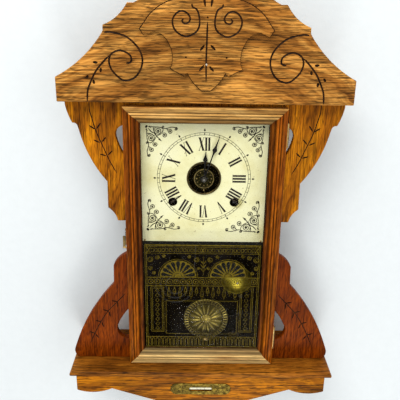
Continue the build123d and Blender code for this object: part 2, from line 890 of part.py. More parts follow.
post_front_y = front_y + rod_set_back - 1.4
spring_slot_half = 0.45
with BuildPart() as movement_front_plate:
    movement_plate(plate_front_y)
    # Suspension post, split to hold the suspension spring
    bar(pendulum_offset, suspension_z, 3.0, post_front_y, plate_front_y)
    block(
        (pendulum_offset - spring_slot_half, post_front_y - 1, suspension_z - 4),
        (pendulum_offset + spring_slot_half, front_y + rod_set_back + 3.2, suspension_z + 2.2),
        mode=Mode.SUBTRACT,
    )
    # Stud that carries the minute wheel
    bar(-motion_spread, dial_z, stud_radius, front_y + hour_wheel_set_back - 0.6, plate_front_y)
movement_front_plate.part.label = "movement_front_plate"
export_step(movement_front_plate.part, "parts/movement_front_plate.step")

with BuildPart() as movement_back_plate:
    movement_plate(plate_back_y)
movement_back_plate.part.label = "movement_back_plate"
export_step(movement_back_plate.part, "parts/movement_back_plate.step")

with BuildPart() as movement_pillars:
    for x, z in pillar_places:
        bar(x, z, pillar_radius, plate_front_y + plate_thickness, plate_back_y)
movement_pillars.part.label = "movement_pillars"
export_step(movement_pillars.part, "parts/movement_pillars.step")

# Wooden strips that carry the movement off the backboard
with BuildPart() as movement_blocks:
    for side in (-1, 1):
        middle = side * (plate_half_width - 5)
        block(
            (middle - 7, movement_rear_y, dial_z - plate_fall - 20),
            (middle + 7, back_front_y, dial_z + plate_rise + 10),
        )
movement_blocks.part.label = "movement_blocks"
export_step(movement_blocks.part, "parts/movement_blocks.step")

# Going and striking power: spring, great wheel and winding arbor on each side
great_front_y = plate_front_y + plate_thickness + 5.0
great_back_y = great_front_y + 2.0
ratchet_front_y = great_front_y - 2.4
mainspring_front_y = great_back_y + 1.5
mainspring_back_y = mainspring_front_y + spring_width
spring_inner_radius = winding_arbor_radius + 0.8
spring_room = spring_reach - pillar_radius - 0.7 - spring_band - spring_inner_radius
spring_pitch = spring_room / (spring_half_turns - 1)
with BuildPart() as mainsprings:
    for side in (-1, 1):
        wound_band(
            (side * winding_spread, winding_z),
            spring_inner_radius,
            spring_pitch,
            spring_half_turns,
            spring_band,
            mainspring_front_y,
            mainspring_back_y,
            side=side,
        )
mainsprings.part.label = "mainsprings"
export_step(mainsprings.part, "parts/mainsprings.step")

with BuildPart() as great_wheels:
    for side in (-1, 1):
        centre = (side * winding_spread, winding_z)
        toothed_disc(
            tooth_ring(great_wheel_teeth, great_wheel_radius - 3.2, great_wheel_radius, centre=centre),
            great_front_y,
            great_back_y,
        )
        cut_windows(centre, 10, great_wheel_radius - 6, 6, great_front_y, great_back_y)
        bar(*centre, winding_arbor_radius + running_gap, great_front_y, great_back_y, mode=Mode.SUBTRACT)
great_wheels.part.label = "great_wheels"
export_step(great_wheels.part, "parts/great_wheels.step")

square_tip_y = dial_back_y + winding_tip_gap
for side, name in ((-1, "strike_winding_arbor"), (1, "time_winding_arbor")):
    x = side * winding_spread
    with BuildPart() as winding_arbor:
        bar(x, winding_z, winding_arbor_radius, plate_front_y, movement_rear_y)
        block(
            (x - winding_square / 2, square_tip_y, winding_z - winding_square / 2),
            (x + winding_square / 2, plate_front_y, winding_z + winding_square / 2),
        )
        toothed_disc(
            tooth_ring(
                ratchet_teeth,
                ratchet_radius - 2,
                ratchet_radius,
                base=0.9,
                land=0.1,
                centre=(x, winding_z),
            ),
            ratchet_front_y,
            great_front_y - 0.4,
        )
    winding_arbor.part.label = name
    export_step(winding_arbor.part, f"parts/{name}.step")

# Centre arbor with its pinion, and the motion work in front of the plate
cannon_front_y = front_y + cannon_set_back
cannon_back_y = cannon_front_y + cannon_thickness
hand_nut_y = dial_y - hand_nut_stand
minute_hand_y = dial_y - minute_hand_stand
hour_hand_y = dial_y - hour_hand_stand
alarm_disc_y = dial_y - alarm_disc_stand
with BuildPart() as centre_arbor:
    bar(0, dial_z, centre_arbor_radius, minute_hand_y + hand_thickness, movement_rear_y)
    bar(0, dial_z, hand_tenon_radius, hand_nut_y, minute_hand_y + hand_thickness)
    toothed_disc(
        tooth_ring(pinion_teeth, 2.35, 3.45, turn=15, centre=(0, dial_z)),
        cannon_front_y,
        cannon_back_y,
    )
centre_arbor.part.label = "centre_arbor"
export_step(centre_arbor.part, "parts/centre_arbor.step")

hour_wheel_front_y = front_y + hour_wheel_set_back
hour_wheel_back_y = hour_wheel_front_y + hour_wheel_thickness
with BuildPart() as minute_wheel:
    centre = (-motion_spread, dial_z)
    toothed_disc(
        tooth_ring(minute_wheel_teeth, 8.3, 9.4, centre=centre),
        cannon_front_y + 0.4,
        cannon_back_y - 0.4,
    )
    toothed_disc(
        tooth_ring(minute_pinion_teeth, 1.75, 2.8, turn=18, centre=centre),
        hour_wheel_front_y - 0.3,
        cannon_front_y + 0.4,
    )
    bar(*centre, stud_radius + running_gap, front_y, plate_front_y, mode=Mode.SUBTRACT)
minute_wheel.part.label = "minute_wheel"
export_step(minute_wheel.part, "parts/minute_wheel.step")

with BuildPart() as hour_wheel:
    toothed_disc(
        tooth_ring(hour_wheel_teeth, 8.9, 10.0, centre=(0, dial_z)),
        hour_wheel_front_y,
        hour_wheel_back_y,
    )
    bar(0, dial_z, hour_pipe_radius, hour_hand_y, hour_wheel_back_y + 1.4)
    bar(
        0,
        dial_z,
        centre_arbor_radius + running_gap,
        hour_hand_y - 1,
        hour_wheel_back_y + 2,
        mode=Mode.SUBTRACT,
    )
hour_wheel.part.label = "hour_wheel"
export_step(hour_wheel.part, "parts/hour_wheel.step")


# A pierced-style hand: half widths at stations along its length, turned clockwise from twelve
def hand_outline(stations, hub_radius, bore, angle, front):
    turn = radians(angle)

    def turned(across, along):
        return (across * cos(turn) + along * sin(turn), dial_z - across * sin(turn) + along * cos(turn))

    edge = [turned(width, reach) for reach, width in stations]
    edge += [turned(-width, reach) for reach, width in reversed(stations)]
    with BuildSketch(facing(front)) as outline:
        with BuildLine():
            Polyline(*edge, close=True)
        make_face()
        with Locations((0, dial_z)):
            Circle(hub_radius)
            Circle(bore, mode=Mode.SUBTRACT)
    extrude(outline.sketch, amount=-hand_thickness)


with BuildPart() as hour_hand:
    reach = hour_hand_length
    hand_outline(
        ((3, 1.3), (reach - 19, 0.9), (reach - 13, 2.6), (reach - 6, 0.8), (reach, 0.25)),
        6.5,
        hour_pipe_radius,
        hour_hand_angle,
        hour_hand_y,
    )
hour_hand.part.label = "hour_hand"
export_step(hour_hand.part, "parts/hour_hand.step")

with BuildPart() as minute_hand:
    reach = minute_hand_length
    hand_outline(
        ((3, 1.4), (reach - 35, 0.8), (reach - 27, 3.4), (reach - 19, 0.8), (reach, 0.25)),
        5.2,
        hand_tenon_radius,
        minute_hand_angle,
        minute_hand_y,
    )
minute_hand.part.label = "minute_hand"
export_step(minute_hand.part, "parts/minute_hand.step")

with BuildPart() as hand_nut:
    bar(0, dial_z, hand_nut_radius, hand_nut_y + 0.6, minute_hand_y)
    fillet(hand_nut.edges().group_by(Axis.Y)[0], radius=0.8)
    bar(0, dial_z, hand_tenon_radius, hand_nut_y, minute_hand_y, mode=Mode.SUBTRACT)
hand_nut.part.label = "hand_nut"
export_step(hand_nut.part, "parts/hand_nut.step")

# Alarm setting disc, turning on the hour pipe
with BuildPart() as alarm_disc:
    bar(0, dial_z, alarm_disc_radius, alarm_disc_y, alarm_disc_y + 1.0)
    bar(0, dial_z, hour_pipe_radius + 1.2, alarm_disc_y - 0.4, alarm_disc_y + 2.6)
    bar(0, dial_z, hour_pipe_radius + running_gap, alarm_disc_y - 1, alarm_disc_y + 7, mode=Mode.SUBTRACT)
    fillet(alarm_disc.faces().filter_by(Axis.Y).sort_by(Axis.Y)[1].outer_wire().edges(), radius=0.3)
alarm_disc.part.label = "alarm_disc"
export_step(alarm_disc.part, "parts/alarm_disc.step")

# Escape wheel with pointed teeth
escape_front_y = plate_front_y + plate_thickness + 4.0
escape_back_y = escape_front_y + 1.2
with BuildPart() as escape_wheel:
    centre = (pendulum_offset, escape_z)
    toothed_disc(
        tooth_ring(
            escape_teeth,
            escape_radius - 2.6,
            escape_radius,
            base=0.5,
            land=0.06,
            turn=6,
            centre=centre,
        ),
        escape_front_y,
        escape_back_y,
    )
    cut_windows(centre, 4, escape_radius - 4, 2.4, escape_front_y, escape_back_y)
    bar(*centre, escape_arbor_radius, plate_front_y, movement_rear_y)
    bar(*centre, 3.0, escape_front_y - 1, escape_back_y + 1)
escape_wheel.part.label = "escape_wheel"
export_step(escape_wheel.part, "parts/escape_wheel.step")

# Verge: strip pallets astride the escape wheel, its arbor and the crutch
pallet_x = escape_radius * sin(radians(45))
pallet_drop = verge_to_escape - escape_radius * cos(radians(45))
crutch_drop = 28.0
nib_clearance = 0.35
with BuildPart() as verge:
    with BuildSketch(facing(escape_front_y - 0.6)):
        for side in (-1, 1):
            lean = nib_clearance * cos(radians(45))
            nib = (pendulum_offset + side * (pallet_x + lean), verge_z - pallet_drop + lean)
            with BuildLine():
                Polyline(
                    nib,
                    (nib[0] + side * 2.4, nib[1] + 1.0),
                    (pendulum_offset + side * 9.5, verge_z + 0.6),
                    (pendulum_offset, verge_z + 2.6),
                    (pendulum_offset, verge_z - 1.6),
                    (pendulum_offset + side * 8.0, verge_z - 2.6),
                    (nib[0] - side * 0.6, nib[1] + 1.6),
                    close=True,
                )
            make_face()
    extrude(amount=-(escape_back_y - escape_front_y + 1.2))
    crutch_y = front_y + rod_set_back + 3.0
    bar(pendulum_offset, verge_z, escape_arbor_radius, crutch_y, movement_rear_y)
    block(
        (pendulum_offset - 0.7, crutch_y, verge_z - crutch_drop),
        (pendulum_offset + 0.7, crutch_y + 1.4, verge_z),
    )
    # Fork that leads the pendulum rod
    for side in (-1, 1):
        near = pendulum_offset + side * (rod_radius + clear_gap)
        far = near + side * 1.2
        block(
            (min(near, far), front_y + rod_set_back - 1.2, verge_z - crutch_drop - 1),
            (max(near, far), crutch_y + 1.4, verge_z - crutch_drop + 1),
        )
    block(
        (pendulum_offset - 2.2, crutch_y, verge_z - crutch_drop - 1),
        (pendulum_offset + 2.2, crutch_y + 1.4, verge_z - crutch_drop + 1),
    )
verge.part.label = "verge"
export_step(verge.part, "parts/verge.step")

# Suspension spring and pendulum rod, swinging about the foot of the post's slot
rod_y = front_y + rod_set_back
bob_z = dial_z - bob_drop
rod_foot_z = bob_z - bob_radius - 13.0
spring_foot_z = suspension_z - 12.0
with BuildPart() as suspension_spring:
    block(
        (pendulum_offset - 0.12, rod_y - 1.2, spring_foot_z),
        (pendulum_offset + 0.12, rod_y + 2.4, suspension_z + 1.6),
    )
suspension_spring.part.label = "suspension_spring"
export_step(suspension_spring.part, "parts/suspension_spring.step")

with BuildPart() as pendulum_rod:
    with Locations((pendulum_offset, rod_y, (spring_foot_z + rod_foot_z) / 2)):
        Cylinder(rod_radius, spring_foot_z - rod_foot_z)
pendulum_rod.part.label = "pendulum_rod"
export_step(pendulum_rod.part, "parts/pendulum_rod.step")

# Bob: a pressed disc with a reeded rim and a domed middle
dome_radius = 0.8 * bob_radius
with BuildPart() as bob:
    bob_front_y = rod_y - bob_thickness / 2
    bob_back_y = rod_y + bob_thickness / 2 - 1.0
    with BuildSketch(half_section(pendulum_offset, bob_z)):
        with BuildLine():
            Polyline(
                (0, bob_front_y),
                (0.35 * dome_radius, bob_front_y + 0.2),
                (0.7 * dome_radius, bob_front_y + 0.8),
                (dome_radius, bob_front_y + 1.8),
            )
            rib = (bob_radius - dome_radius) / 3
            for number in range(3):
                near = dome_radius + number * rib
                depth = bob_front_y + 1.8 + 0.2 * number
                Polyline((near, depth), (near + rib / 2, depth - 0.8), (near + rib, depth + 0.2))
            Line((bob_radius, bob_front_y + 2.4), (bob_radius - 1.0, bob_back_y))
            Line((bob_radius - 1.0, bob_back_y), (0, bob_back_y))
            Line((0, bob_back_y), (0, bob_front_y))
        make_face()
    revolve(axis=depth_axis(pendulum_offset, bob_z))
    with Locations((pendulum_offset, rod_y, bob_z)):
        Cylinder(rod_radius + running_gap, 2 * bob_radius + 4, mode=Mode.SUBTRACT)
bob.part.label = "bob"
export_step(bob.part, "parts/bob.step")

nut_top_z = bob_z - bob_radius - clear_gap
with BuildPart() as rating_nut:
    with Locations((pendulum_offset, rod_y, nut_top_z - 2.0)):
        Cylinder(rating_nut_radius, 4.0)
        Cylinder(rod_radius + running_gap, 6.0, mode=Mode.SUBTRACT)
    chamfer(rating_nut.edges().group_by(Axis.Z)[-1].sort_by(SortBy.LENGTH)[-1], length=0.8)
rating_nut.part.label = "rating_nut"
export_step(rating_nut.part, "parts/rating_nut.step")

# Coil gong on its iron block, and the strike hammer
gong_z = dial_z - gong_drop
gong_front_y = back_front_y - gong_stand
gong_back_y = gong_front_y + gong_width
gong_top = gong_inner_radius + (gong_half_turns - 1) * gong_pitch
gong_end_z = gong_z + gong_inner_radius + gong_half_turns * gong_pitch
with BuildPart() as gong_coil:
    wound_band(
        (gong_x, gong_z),
        gong_inner_radius,
        gong_pitch,
        gong_half_turns,
        gong_band,
        gong_front_y,
        gong_back_y,
        upright=True,
    )
gong_coil.part.label = "gong_coil"
export_step(gong_coil.part, "parts/gong_coil.step")

with BuildPart() as gong_base:
    block(
        (gong_x - 9, gong_back_y, gong_end_z - 10),
        (gong_x + 9, back_front_y, gong_end_z + 10),
    )
    fillet(gong_base.edges().filter_by(Axis.Y), radius=4)
gong_base.part.label = "gong_base"
export_step(gong_base.part, "parts/gong_base.step")

head_reach = gong_top + gong_pitch + gong_band + 6.5
hammer_head = (gong_x + head_reach * cos(radians(45)), gong_z + head_reach * sin(radians(45)))
hammer_y = (gong_front_y + gong_back_y) / 2
with BuildPart() as strike_hammer:
    bar(*hammer_arbor, escape_arbor_radius, plate_front_y, hammer_y + 1.0)
    arm_run = (hammer_head[0] - hammer_arbor[0], hammer_head[1] - hammer_arbor[1])
    with BuildSketch(facing(hammer_y - 0.9)) as arm:
        with BuildLine():
            across = (-0.9 * arm_run[1] / hypot(*arm_run), 0.9 * arm_run[0] / hypot(*arm_run))
            Polyline(
                (hammer_arbor[0] + across[0], hammer_arbor[1] + across[1]),
                (hammer_head[0] + across[0], hammer_head[1] + across[1]),
                (hammer_head[0] - across[0], hammer_head[1] - across[1]),
                (hammer_arbor[0] - across[0], hammer_arbor[1] - across[1]),
                close=True,
            )
        make_face()
        with Locations(hammer_arbor):
            Circle(2.6)
    extrude(arm.sketch, amount=-1.8)
    with Locations((hammer_head[0], hammer_y, hammer_head[1])):
        Cylinder(4.5, 10, rotation=(0, 45, 0))
strike_hammer.part.label = "strike_hammer"
export_step(strike_hammer.part, "parts/strike_hammer.step")

# Alarm: bell on a post, a small framed movement below it, its key and its hammer
bell_z = dial_z - bell_drop
bell_front_y = back_front_y - bell_stand
bell_rim_y = bell_front_y + bell_depth
with BuildPart() as alarm_bell:
    with BuildSketch(half_section(bell_x, bell_z)):
        with BuildLine():
            crown_arc = ThreePointArc(
                (0, bell_front_y),
                (0.62 * bell_radius, bell_front_y + 0.22 * bell_depth),
                (bell_radius - 1.5, bell_rim_y - 3),
            )
            Line(crown_arc @ 1, (bell_radius, bell_rim_y))
            Line((bell_radius, bell_rim_y), (bell_radius - bell_wall, bell_rim_y))
            inner_top = (bell_radius - 1.5 - bell_wall, bell_rim_y - 3)
            Line((bell_radius - bell_wall, bell_rim_y), inner_top)
            Polyline(
                inner_top,
                (0.62 * bell_radius, bell_front_y + bell_wall + 0.27 * bell_depth),
                (0, bell_front_y + bell_wall),
            )
            Line((0, bell_front_y + bell_wall), (0, bell_front_y))
        make_face()
    revolve(axis=depth_axis(bell_x, bell_z))
    bar(bell_x, bell_z, 2.0, bell_front_y - 2, bell_front_y + 4, mode=Mode.SUBTRACT)
alarm_bell.part.label = "alarm_bell"
export_step(alarm_bell.part, "parts/alarm_bell.step")

with BuildPart() as bell_post:
    bar(bell_x, bell_z, 1.95, bell_front_y - 1.6, back_front_y)
    bar(bell_x, bell_z, 3.6, bell_front_y + 3.4, bell_rim_y)
    bar(bell_x, bell_z, 8.0, back_front_y - 2.0, back_front_y)
bell_post.part.label = "bell_post"
export_step(bell_post.part, "parts/bell_post.step")

alarm_z = dial_z - alarm_drop
alarm_key_z = dial_z - alarm_key_drop
alarm_front_y = back_front_y - alarm_stand
alarm_plate_back_y = back_front_y - 3.0
alarm_hammer_pivot = (alarm_x + 12.0, alarm_z + 10.0)
with BuildPart() as alarm_frame:
    for near in (alarm_front_y, alarm_plate_back_y):
        block((alarm_x - 22, near, alarm_z - 22), (alarm_x + 22, near + alarm_plate, alarm_z + 20))
    for dx in (-18, 18):
        for dz in (-18, 16):
            bar(alarm_x + dx, alarm_z + dz, 2.0, alarm_front_y + alarm_plate, alarm_plate_back_y)
            bar(alarm_x + dx, alarm_z + dz, 3.0, alarm_plate_back_y + alarm_plate, back_front_y)
    for near in (alarm_front_y, alarm_plate_back_y):
        bar(alarm_x, alarm_key_z, 2.0 + running_gap, near, near + alarm_plate, mode=Mode.SUBTRACT)
        bar(*alarm_hammer_pivot, 1.2 + running_gap, near, near + alarm_plate, mode=Mode.SUBTRACT)
alarm_frame.part.label = "alarm_frame"
export_step(alarm_frame.part, "parts/alarm_frame.step")

key_front_y = alarm_front_y - 13.0
with BuildPart() as alarm_key:
    bar(alarm_x, alarm_key_z, 2.0, key_front_y + 3, alarm_plate_back_y + alarm_plate)
    bar(alarm_x, alarm_key_z, 7.0, alarm_front_y + 4, alarm_front_y + 5.2)
    with BuildSketch(facing(key_front_y)) as wings_of_key:
        with Locations((alarm_x - key_ring_spread, alarm_key_z), (alarm_x + key_ring_spread, alarm_key_z)):
            Circle(key_ring_radius)
            Circle(2.8, mode=Mode.SUBTRACT)
        with Locations((alarm_x, alarm_key_z)):
            Circle(2.8)
    extrude(wings_of_key.sketch, amount=-1.6)
    bar(alarm_x, alarm_key_z, 2.0, key_front_y, key_front_y + 4)
alarm_key.part.label = "alarm_key"
export_step(alarm_key.part, "parts/alarm_key.step")

alarm_head = (bell_x + 8.0, bell_z - bell_radius - 5.2)
alarm_arm_y = bell_rim_y - 1.5
with BuildPart() as alarm_hammer:
    bar(*alarm_hammer_pivot, 1.2, alarm_front_y, alarm_plate_back_y + alarm_plate)
    bar(*alarm_hammer_pivot, 3.0, alarm_front_y + 8, alarm_front_y + 16)
    run = (alarm_head[0] - alarm_hammer_pivot[0], alarm_head[1] - alarm_hammer_pivot[1])
    arm_y = alarm_front_y + 10.0
    with BuildSketch(facing(arm_y)) as arm:
        with BuildLine():
            across = (-0.8 * run[1] / hypot(*run), 0.8 * run[0] / hypot(*run))
            Polyline(
                (alarm_hammer_pivot[0] + across[0], alarm_hammer_pivot[1] + across[1]),
                (alarm_head[0] + across[0], alarm_head[1] + across[1]),
                (alarm_head[0] - across[0], alarm_head[1] - across[1]),
                (alarm_hammer_pivot[0] - across[0], alarm_hammer_pivot[1] - across[1]),
                close=True,
            )
        make_face()
    extrude(arm.sketch, amount=-1.6)
    bar(*alarm_head, 3.4, min(alarm_arm_y, arm_y) - 4, arm_y + 2.4)
alarm_hammer.part.label = "alarm_hammer"
export_step(alarm_hammer.part, "parts/alarm_hammer.step")
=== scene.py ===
import json
import math
import random

import bmesh
import bpy
from mathutils import Matrix, Vector


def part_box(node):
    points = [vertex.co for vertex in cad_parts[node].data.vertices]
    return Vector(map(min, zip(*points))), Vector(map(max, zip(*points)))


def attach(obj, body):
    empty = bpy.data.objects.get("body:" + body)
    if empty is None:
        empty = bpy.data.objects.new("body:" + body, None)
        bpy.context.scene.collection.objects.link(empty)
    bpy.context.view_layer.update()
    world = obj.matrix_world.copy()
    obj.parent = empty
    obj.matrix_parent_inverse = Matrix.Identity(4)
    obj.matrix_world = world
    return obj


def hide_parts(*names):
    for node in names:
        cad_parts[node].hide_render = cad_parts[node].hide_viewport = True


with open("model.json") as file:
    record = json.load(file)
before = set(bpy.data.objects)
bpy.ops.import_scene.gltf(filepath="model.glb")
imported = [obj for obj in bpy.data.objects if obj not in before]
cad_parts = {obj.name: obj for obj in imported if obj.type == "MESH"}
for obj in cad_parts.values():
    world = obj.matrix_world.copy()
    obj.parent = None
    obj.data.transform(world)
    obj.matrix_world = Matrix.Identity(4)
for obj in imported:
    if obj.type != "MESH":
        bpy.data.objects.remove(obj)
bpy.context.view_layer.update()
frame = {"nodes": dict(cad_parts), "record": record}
nodes = frame["nodes"]
print("frame loaded:", len(nodes), "nodes")

mm = 0.001
dialZ = -0.190  # centre of the dial, below the hanger hole
boardY = -0.090  # front face of the wings
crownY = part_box("crown")[0][1]
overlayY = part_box("crown_overlay")[0][1]
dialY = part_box("dial_plate")[0][1]

# Camera, placed where the photograph was taken
view = {
    "place": (-16.55, -928.32, 77.09),  # mm
    "yaw": 0.726,
    "pitch": 19.780,
    "roll": 0.921,
    "focal": 545.75 / 400 * 36,
}


def addCamera():
    yaw, pitch, roll = (math.radians(view[key]) for key in ("yaw", "pitch", "roll"))
    ahead = Vector((math.sin(yaw) * math.cos(pitch), math.cos(yaw) * math.cos(pitch), -math.sin(pitch)))
    right = Vector((math.cos(yaw), -math.sin(yaw), 0))
    up = right.cross(ahead)
    rolledRight = math.cos(roll) * right + math.sin(roll) * up
    rolledUp = math.cos(roll) * up - math.sin(roll) * right
    turn = Matrix((rolledRight, rolledUp, -ahead)).transposed().to_4x4()
    lens = bpy.data.cameras.new("photoCamera")
    lens.sensor_width = 36
    lens.lens = view["focal"]
    camera = bpy.data.objects.new("photoCamera", lens)
    camera.matrix_world = Matrix.Translation(Vector(view["place"]) * mm) @ turn
    bpy.context.collection.objects.link(camera)
    bpy.context.scene.camera = camera


# Node helpers for the materials
def addNode(tree, kind, **values):
    node = tree.nodes.new(kind)
    for key, value in values.items():
        if hasattr(node, key):
            setattr(node, key, value)
        else:
            node.inputs[key.replace("_", " ")].default_value = value
    return node


def startMaterial(name, **shaderValues):
    material = bpy.data.materials.new(name)
    material.use_nodes = True
    tree = material.node_tree
    shader = tree.nodes["Principled BSDF"]
    for key, value in shaderValues.items():
        shader.inputs[key.replace("_", " ")].default_value = value
    return material, tree, shader


def placed(tree, scale=(1, 1, 1), turn=(0, 0, 0), shift=(0, 0, 0)):
    coords = addNode(tree, "ShaderNodeTexCoord")
    mapping = addNode(tree, "ShaderNodeMapping")
    mapping.inputs["Scale"].default_value = scale
    mapping.inputs["Rotation"].default_value = turn
    mapping.inputs["Location"].default_value = shift
    tree.links.new(coords.outputs["Object"], mapping.inputs["Vector"])
    return mapping.outputs["Vector"]


def noise(tree, vector, scale, detail=4, rough=0.55):
    texture = addNode(tree, "ShaderNodeTexNoise", Scale=scale, Detail=detail, Roughness=rough)
    tree.links.new(vector, texture.inputs["Vector"])
    return texture.outputs["Fac"]


def ramp(tree, factor, stops, smooth=False):
    node = addNode(tree, "ShaderNodeValToRGB")
    if smooth:
        node.color_ramp.interpolation = "EASE"
    band = node.color_ramp.elements
    while len(band) < len(stops):
        band.new(0.5)
    for element, (place, color) in zip(band, stops):
        element.position = place
        element.color = (*color, 1) if len(color) == 3 else color
    tree.links.new(factor, node.inputs["Fac"])
    return node.outputs["Color"]


def gray(low, high, dark=0.0, light=1.0):
    return [(low, (dark,) * 3), (high, (light,) * 3)]


def mixed(tree, factor, first, second, blend="MIX"):
    node = addNode(tree, "ShaderNodeMix", data_type="RGBA", blend_type=blend)
    for value, socket in ((factor, node.inputs[0]), (first, node.inputs[6]), (second, node.inputs[7])):
        if isinstance(value, bpy.types.NodeSocket):
            tree.links.new(value, socket)
        else:
            socket.default_value = value if isinstance(value, float) else (*value, 1)
    return node.outputs[2]


def addBump(tree, shader, height, strength, distance=0.0006):
    bump = addNode(tree, "ShaderNodeBump", Strength=strength, Distance=distance)
    tree.links.new(height, bump.inputs["Height"])
    tree.links.new(bump.outputs["Normal"], shader.inputs["Normal"])


def calc(tree, operation, first, second):
    node = addNode(tree, "ShaderNodeMath", operation=operation)
    for value, socket in ((first, node.inputs[0]), (second, node.inputs[1])):
        if isinstance(value, bpy.types.NodeSocket):
            tree.links.new(value, socket)
        else:
            socket.default_value = value
    return node.outputs[0]


# Oak: arched bands of dark and light growth, streaks along the grain, and fine open pores.
# Light, middle and dark tone, direction of the grain, seed, arch of the bands, strength of the figure
oakLooks = {
    "oakCrown": ((0.78, 0.35, 0.066), (0.46, 0.172, 0.025), (0.1, 0.03, 0.006), "x", 0.4, 1.3),
    "oakApron": ((0.68, 0.225, 0.004), (0.44, 0.132, 0.003), (0.13, 0.034, 0.002), "x", 3.1, 0.5),
    "oakWing": ((0.69, 0.24, 0.004), (0.44, 0.132, 0.003), (0.13, 0.032, 0.002), "z", 1.7, 0.6, 0.85),
    "oakLowWing": ((0.27, 0.048, 0.001), (0.2, 0.033, 0.001), (0.09, 0.015, 0.001), "z", 2.6, 0.6, 0.75),
    "oakStile": ((0.56, 0.145, 0.005), (0.36, 0.078, 0.003), (0.11, 0.021, 0.001), "z", 5.2, 0.3, 0.8),
    # The rails' tones carry a painted highlight: far lighter than the stiles' for the gleam on their beads,
    # and the bottom rail's lighter still as it faces the light
    "oakRail": ((0.96, 0.54, 0.16), (0.8, 0.4, 0.095), (0.4, 0.15, 0.028), "x", 8.4, 0.4, 0.5),
    "oakLowRail": ((0.98, 0.66, 0.25), (0.98, 0.62, 0.22), (0.64, 0.32, 0.095), "x", 9.7, 0.4, 0.4),
    "oakShelf": ((0.52, 0.18, 0.015), (0.32, 0.098, 0.008), (0.09, 0.026, 0.003), "x", 4.3, 0.4),
    "oakDark": ((0.23, 0.105, 0.038), (0.145, 0.062, 0.021), (0.055, 0.022, 0.008), "z", 6.6, 0.3),
    "pineBack": ((0.42, 0.25, 0.11), (0.27, 0.15, 0.06), (0.11, 0.055, 0.022), "z", 9.3, 0.4),
    "carvedGroove": ((0.06, 0.022, 0.006), (0.036, 0.013, 0.004), (0.016, 0.006, 0.002), "x", 2.2, 0.3),
}


# Width of the door's moulding, and the painted shade across it: how bright the wood stays at points across
# it, dark in the grooves and light on the beads
doorFrame = {
    "width": 0.026,
    "mouldingShade": [(0.0, 0.9), (0.04, 1.0), (0.09, 0.62), (0.24, 0.66), (0.30, 0.26), (0.36, 1.0),
                (0.43, 0.96), (0.485, 0.16), (0.54, 0.86), (0.61, 1.0), (0.67, 0.36), (0.75, 0.13),
                (0.83, 0.50), (0.89, 0.44), (0.94, 0.12), (1.0, 0.14)],
}


# Share of the way in from the door's outer edge to the glass, mitred at the corners
def frameShare(tree, coords):
    low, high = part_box("door_stile_left")[0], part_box("door_stile_right")[1]
    sideways = calc(tree, "SUBTRACT", high.x, calc(tree, "ABSOLUTE", coords.outputs["X"], 0.0))
    above = calc(tree, "SUBTRACT", high.z, coords.outputs["Z"])
    below = calc(tree, "SUBTRACT", coords.outputs["Z"], low.z)
    inwards = calc(tree, "MINIMUM", sideways, calc(tree, "MINIMUM", above, below))
    return calc(tree, "DIVIDE", inwards, doorFrame["width"])


# The inside of the case, in metres, and the near-black painted shade that fills it behind the glass
caseInside = {"halfWidth": 0.1165, "front": boardY + 0.001, "back": -0.003, "roofDrop": 0.004,
              "floorLap": 0.002, "paintedShade": (0.012, 0.008, 0.005)}


def insideCase(tree, coords):
    x, y, z = (coords.outputs[axis] for axis in "XYZ")
    tests = [
        calc(tree, "GREATER_THAN", y, caseInside["front"]),
        calc(tree, "LESS_THAN", y, caseInside["back"]),
        calc(tree, "LESS_THAN", calc(tree, "ABSOLUTE", x, 0.0), caseInside["halfWidth"]),
        calc(tree, "LESS_THAN", z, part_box("case_side_left")[1].z - caseInside["roofDrop"]),
        calc(tree, "GREATER_THAN", z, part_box("base_shelf")[1].z - caseInside["floorLap"]),
    ]
    share = tests[0]
    for test in tests[1:]:
        share = calc(tree, "MULTIPLY", share, test)
    return share


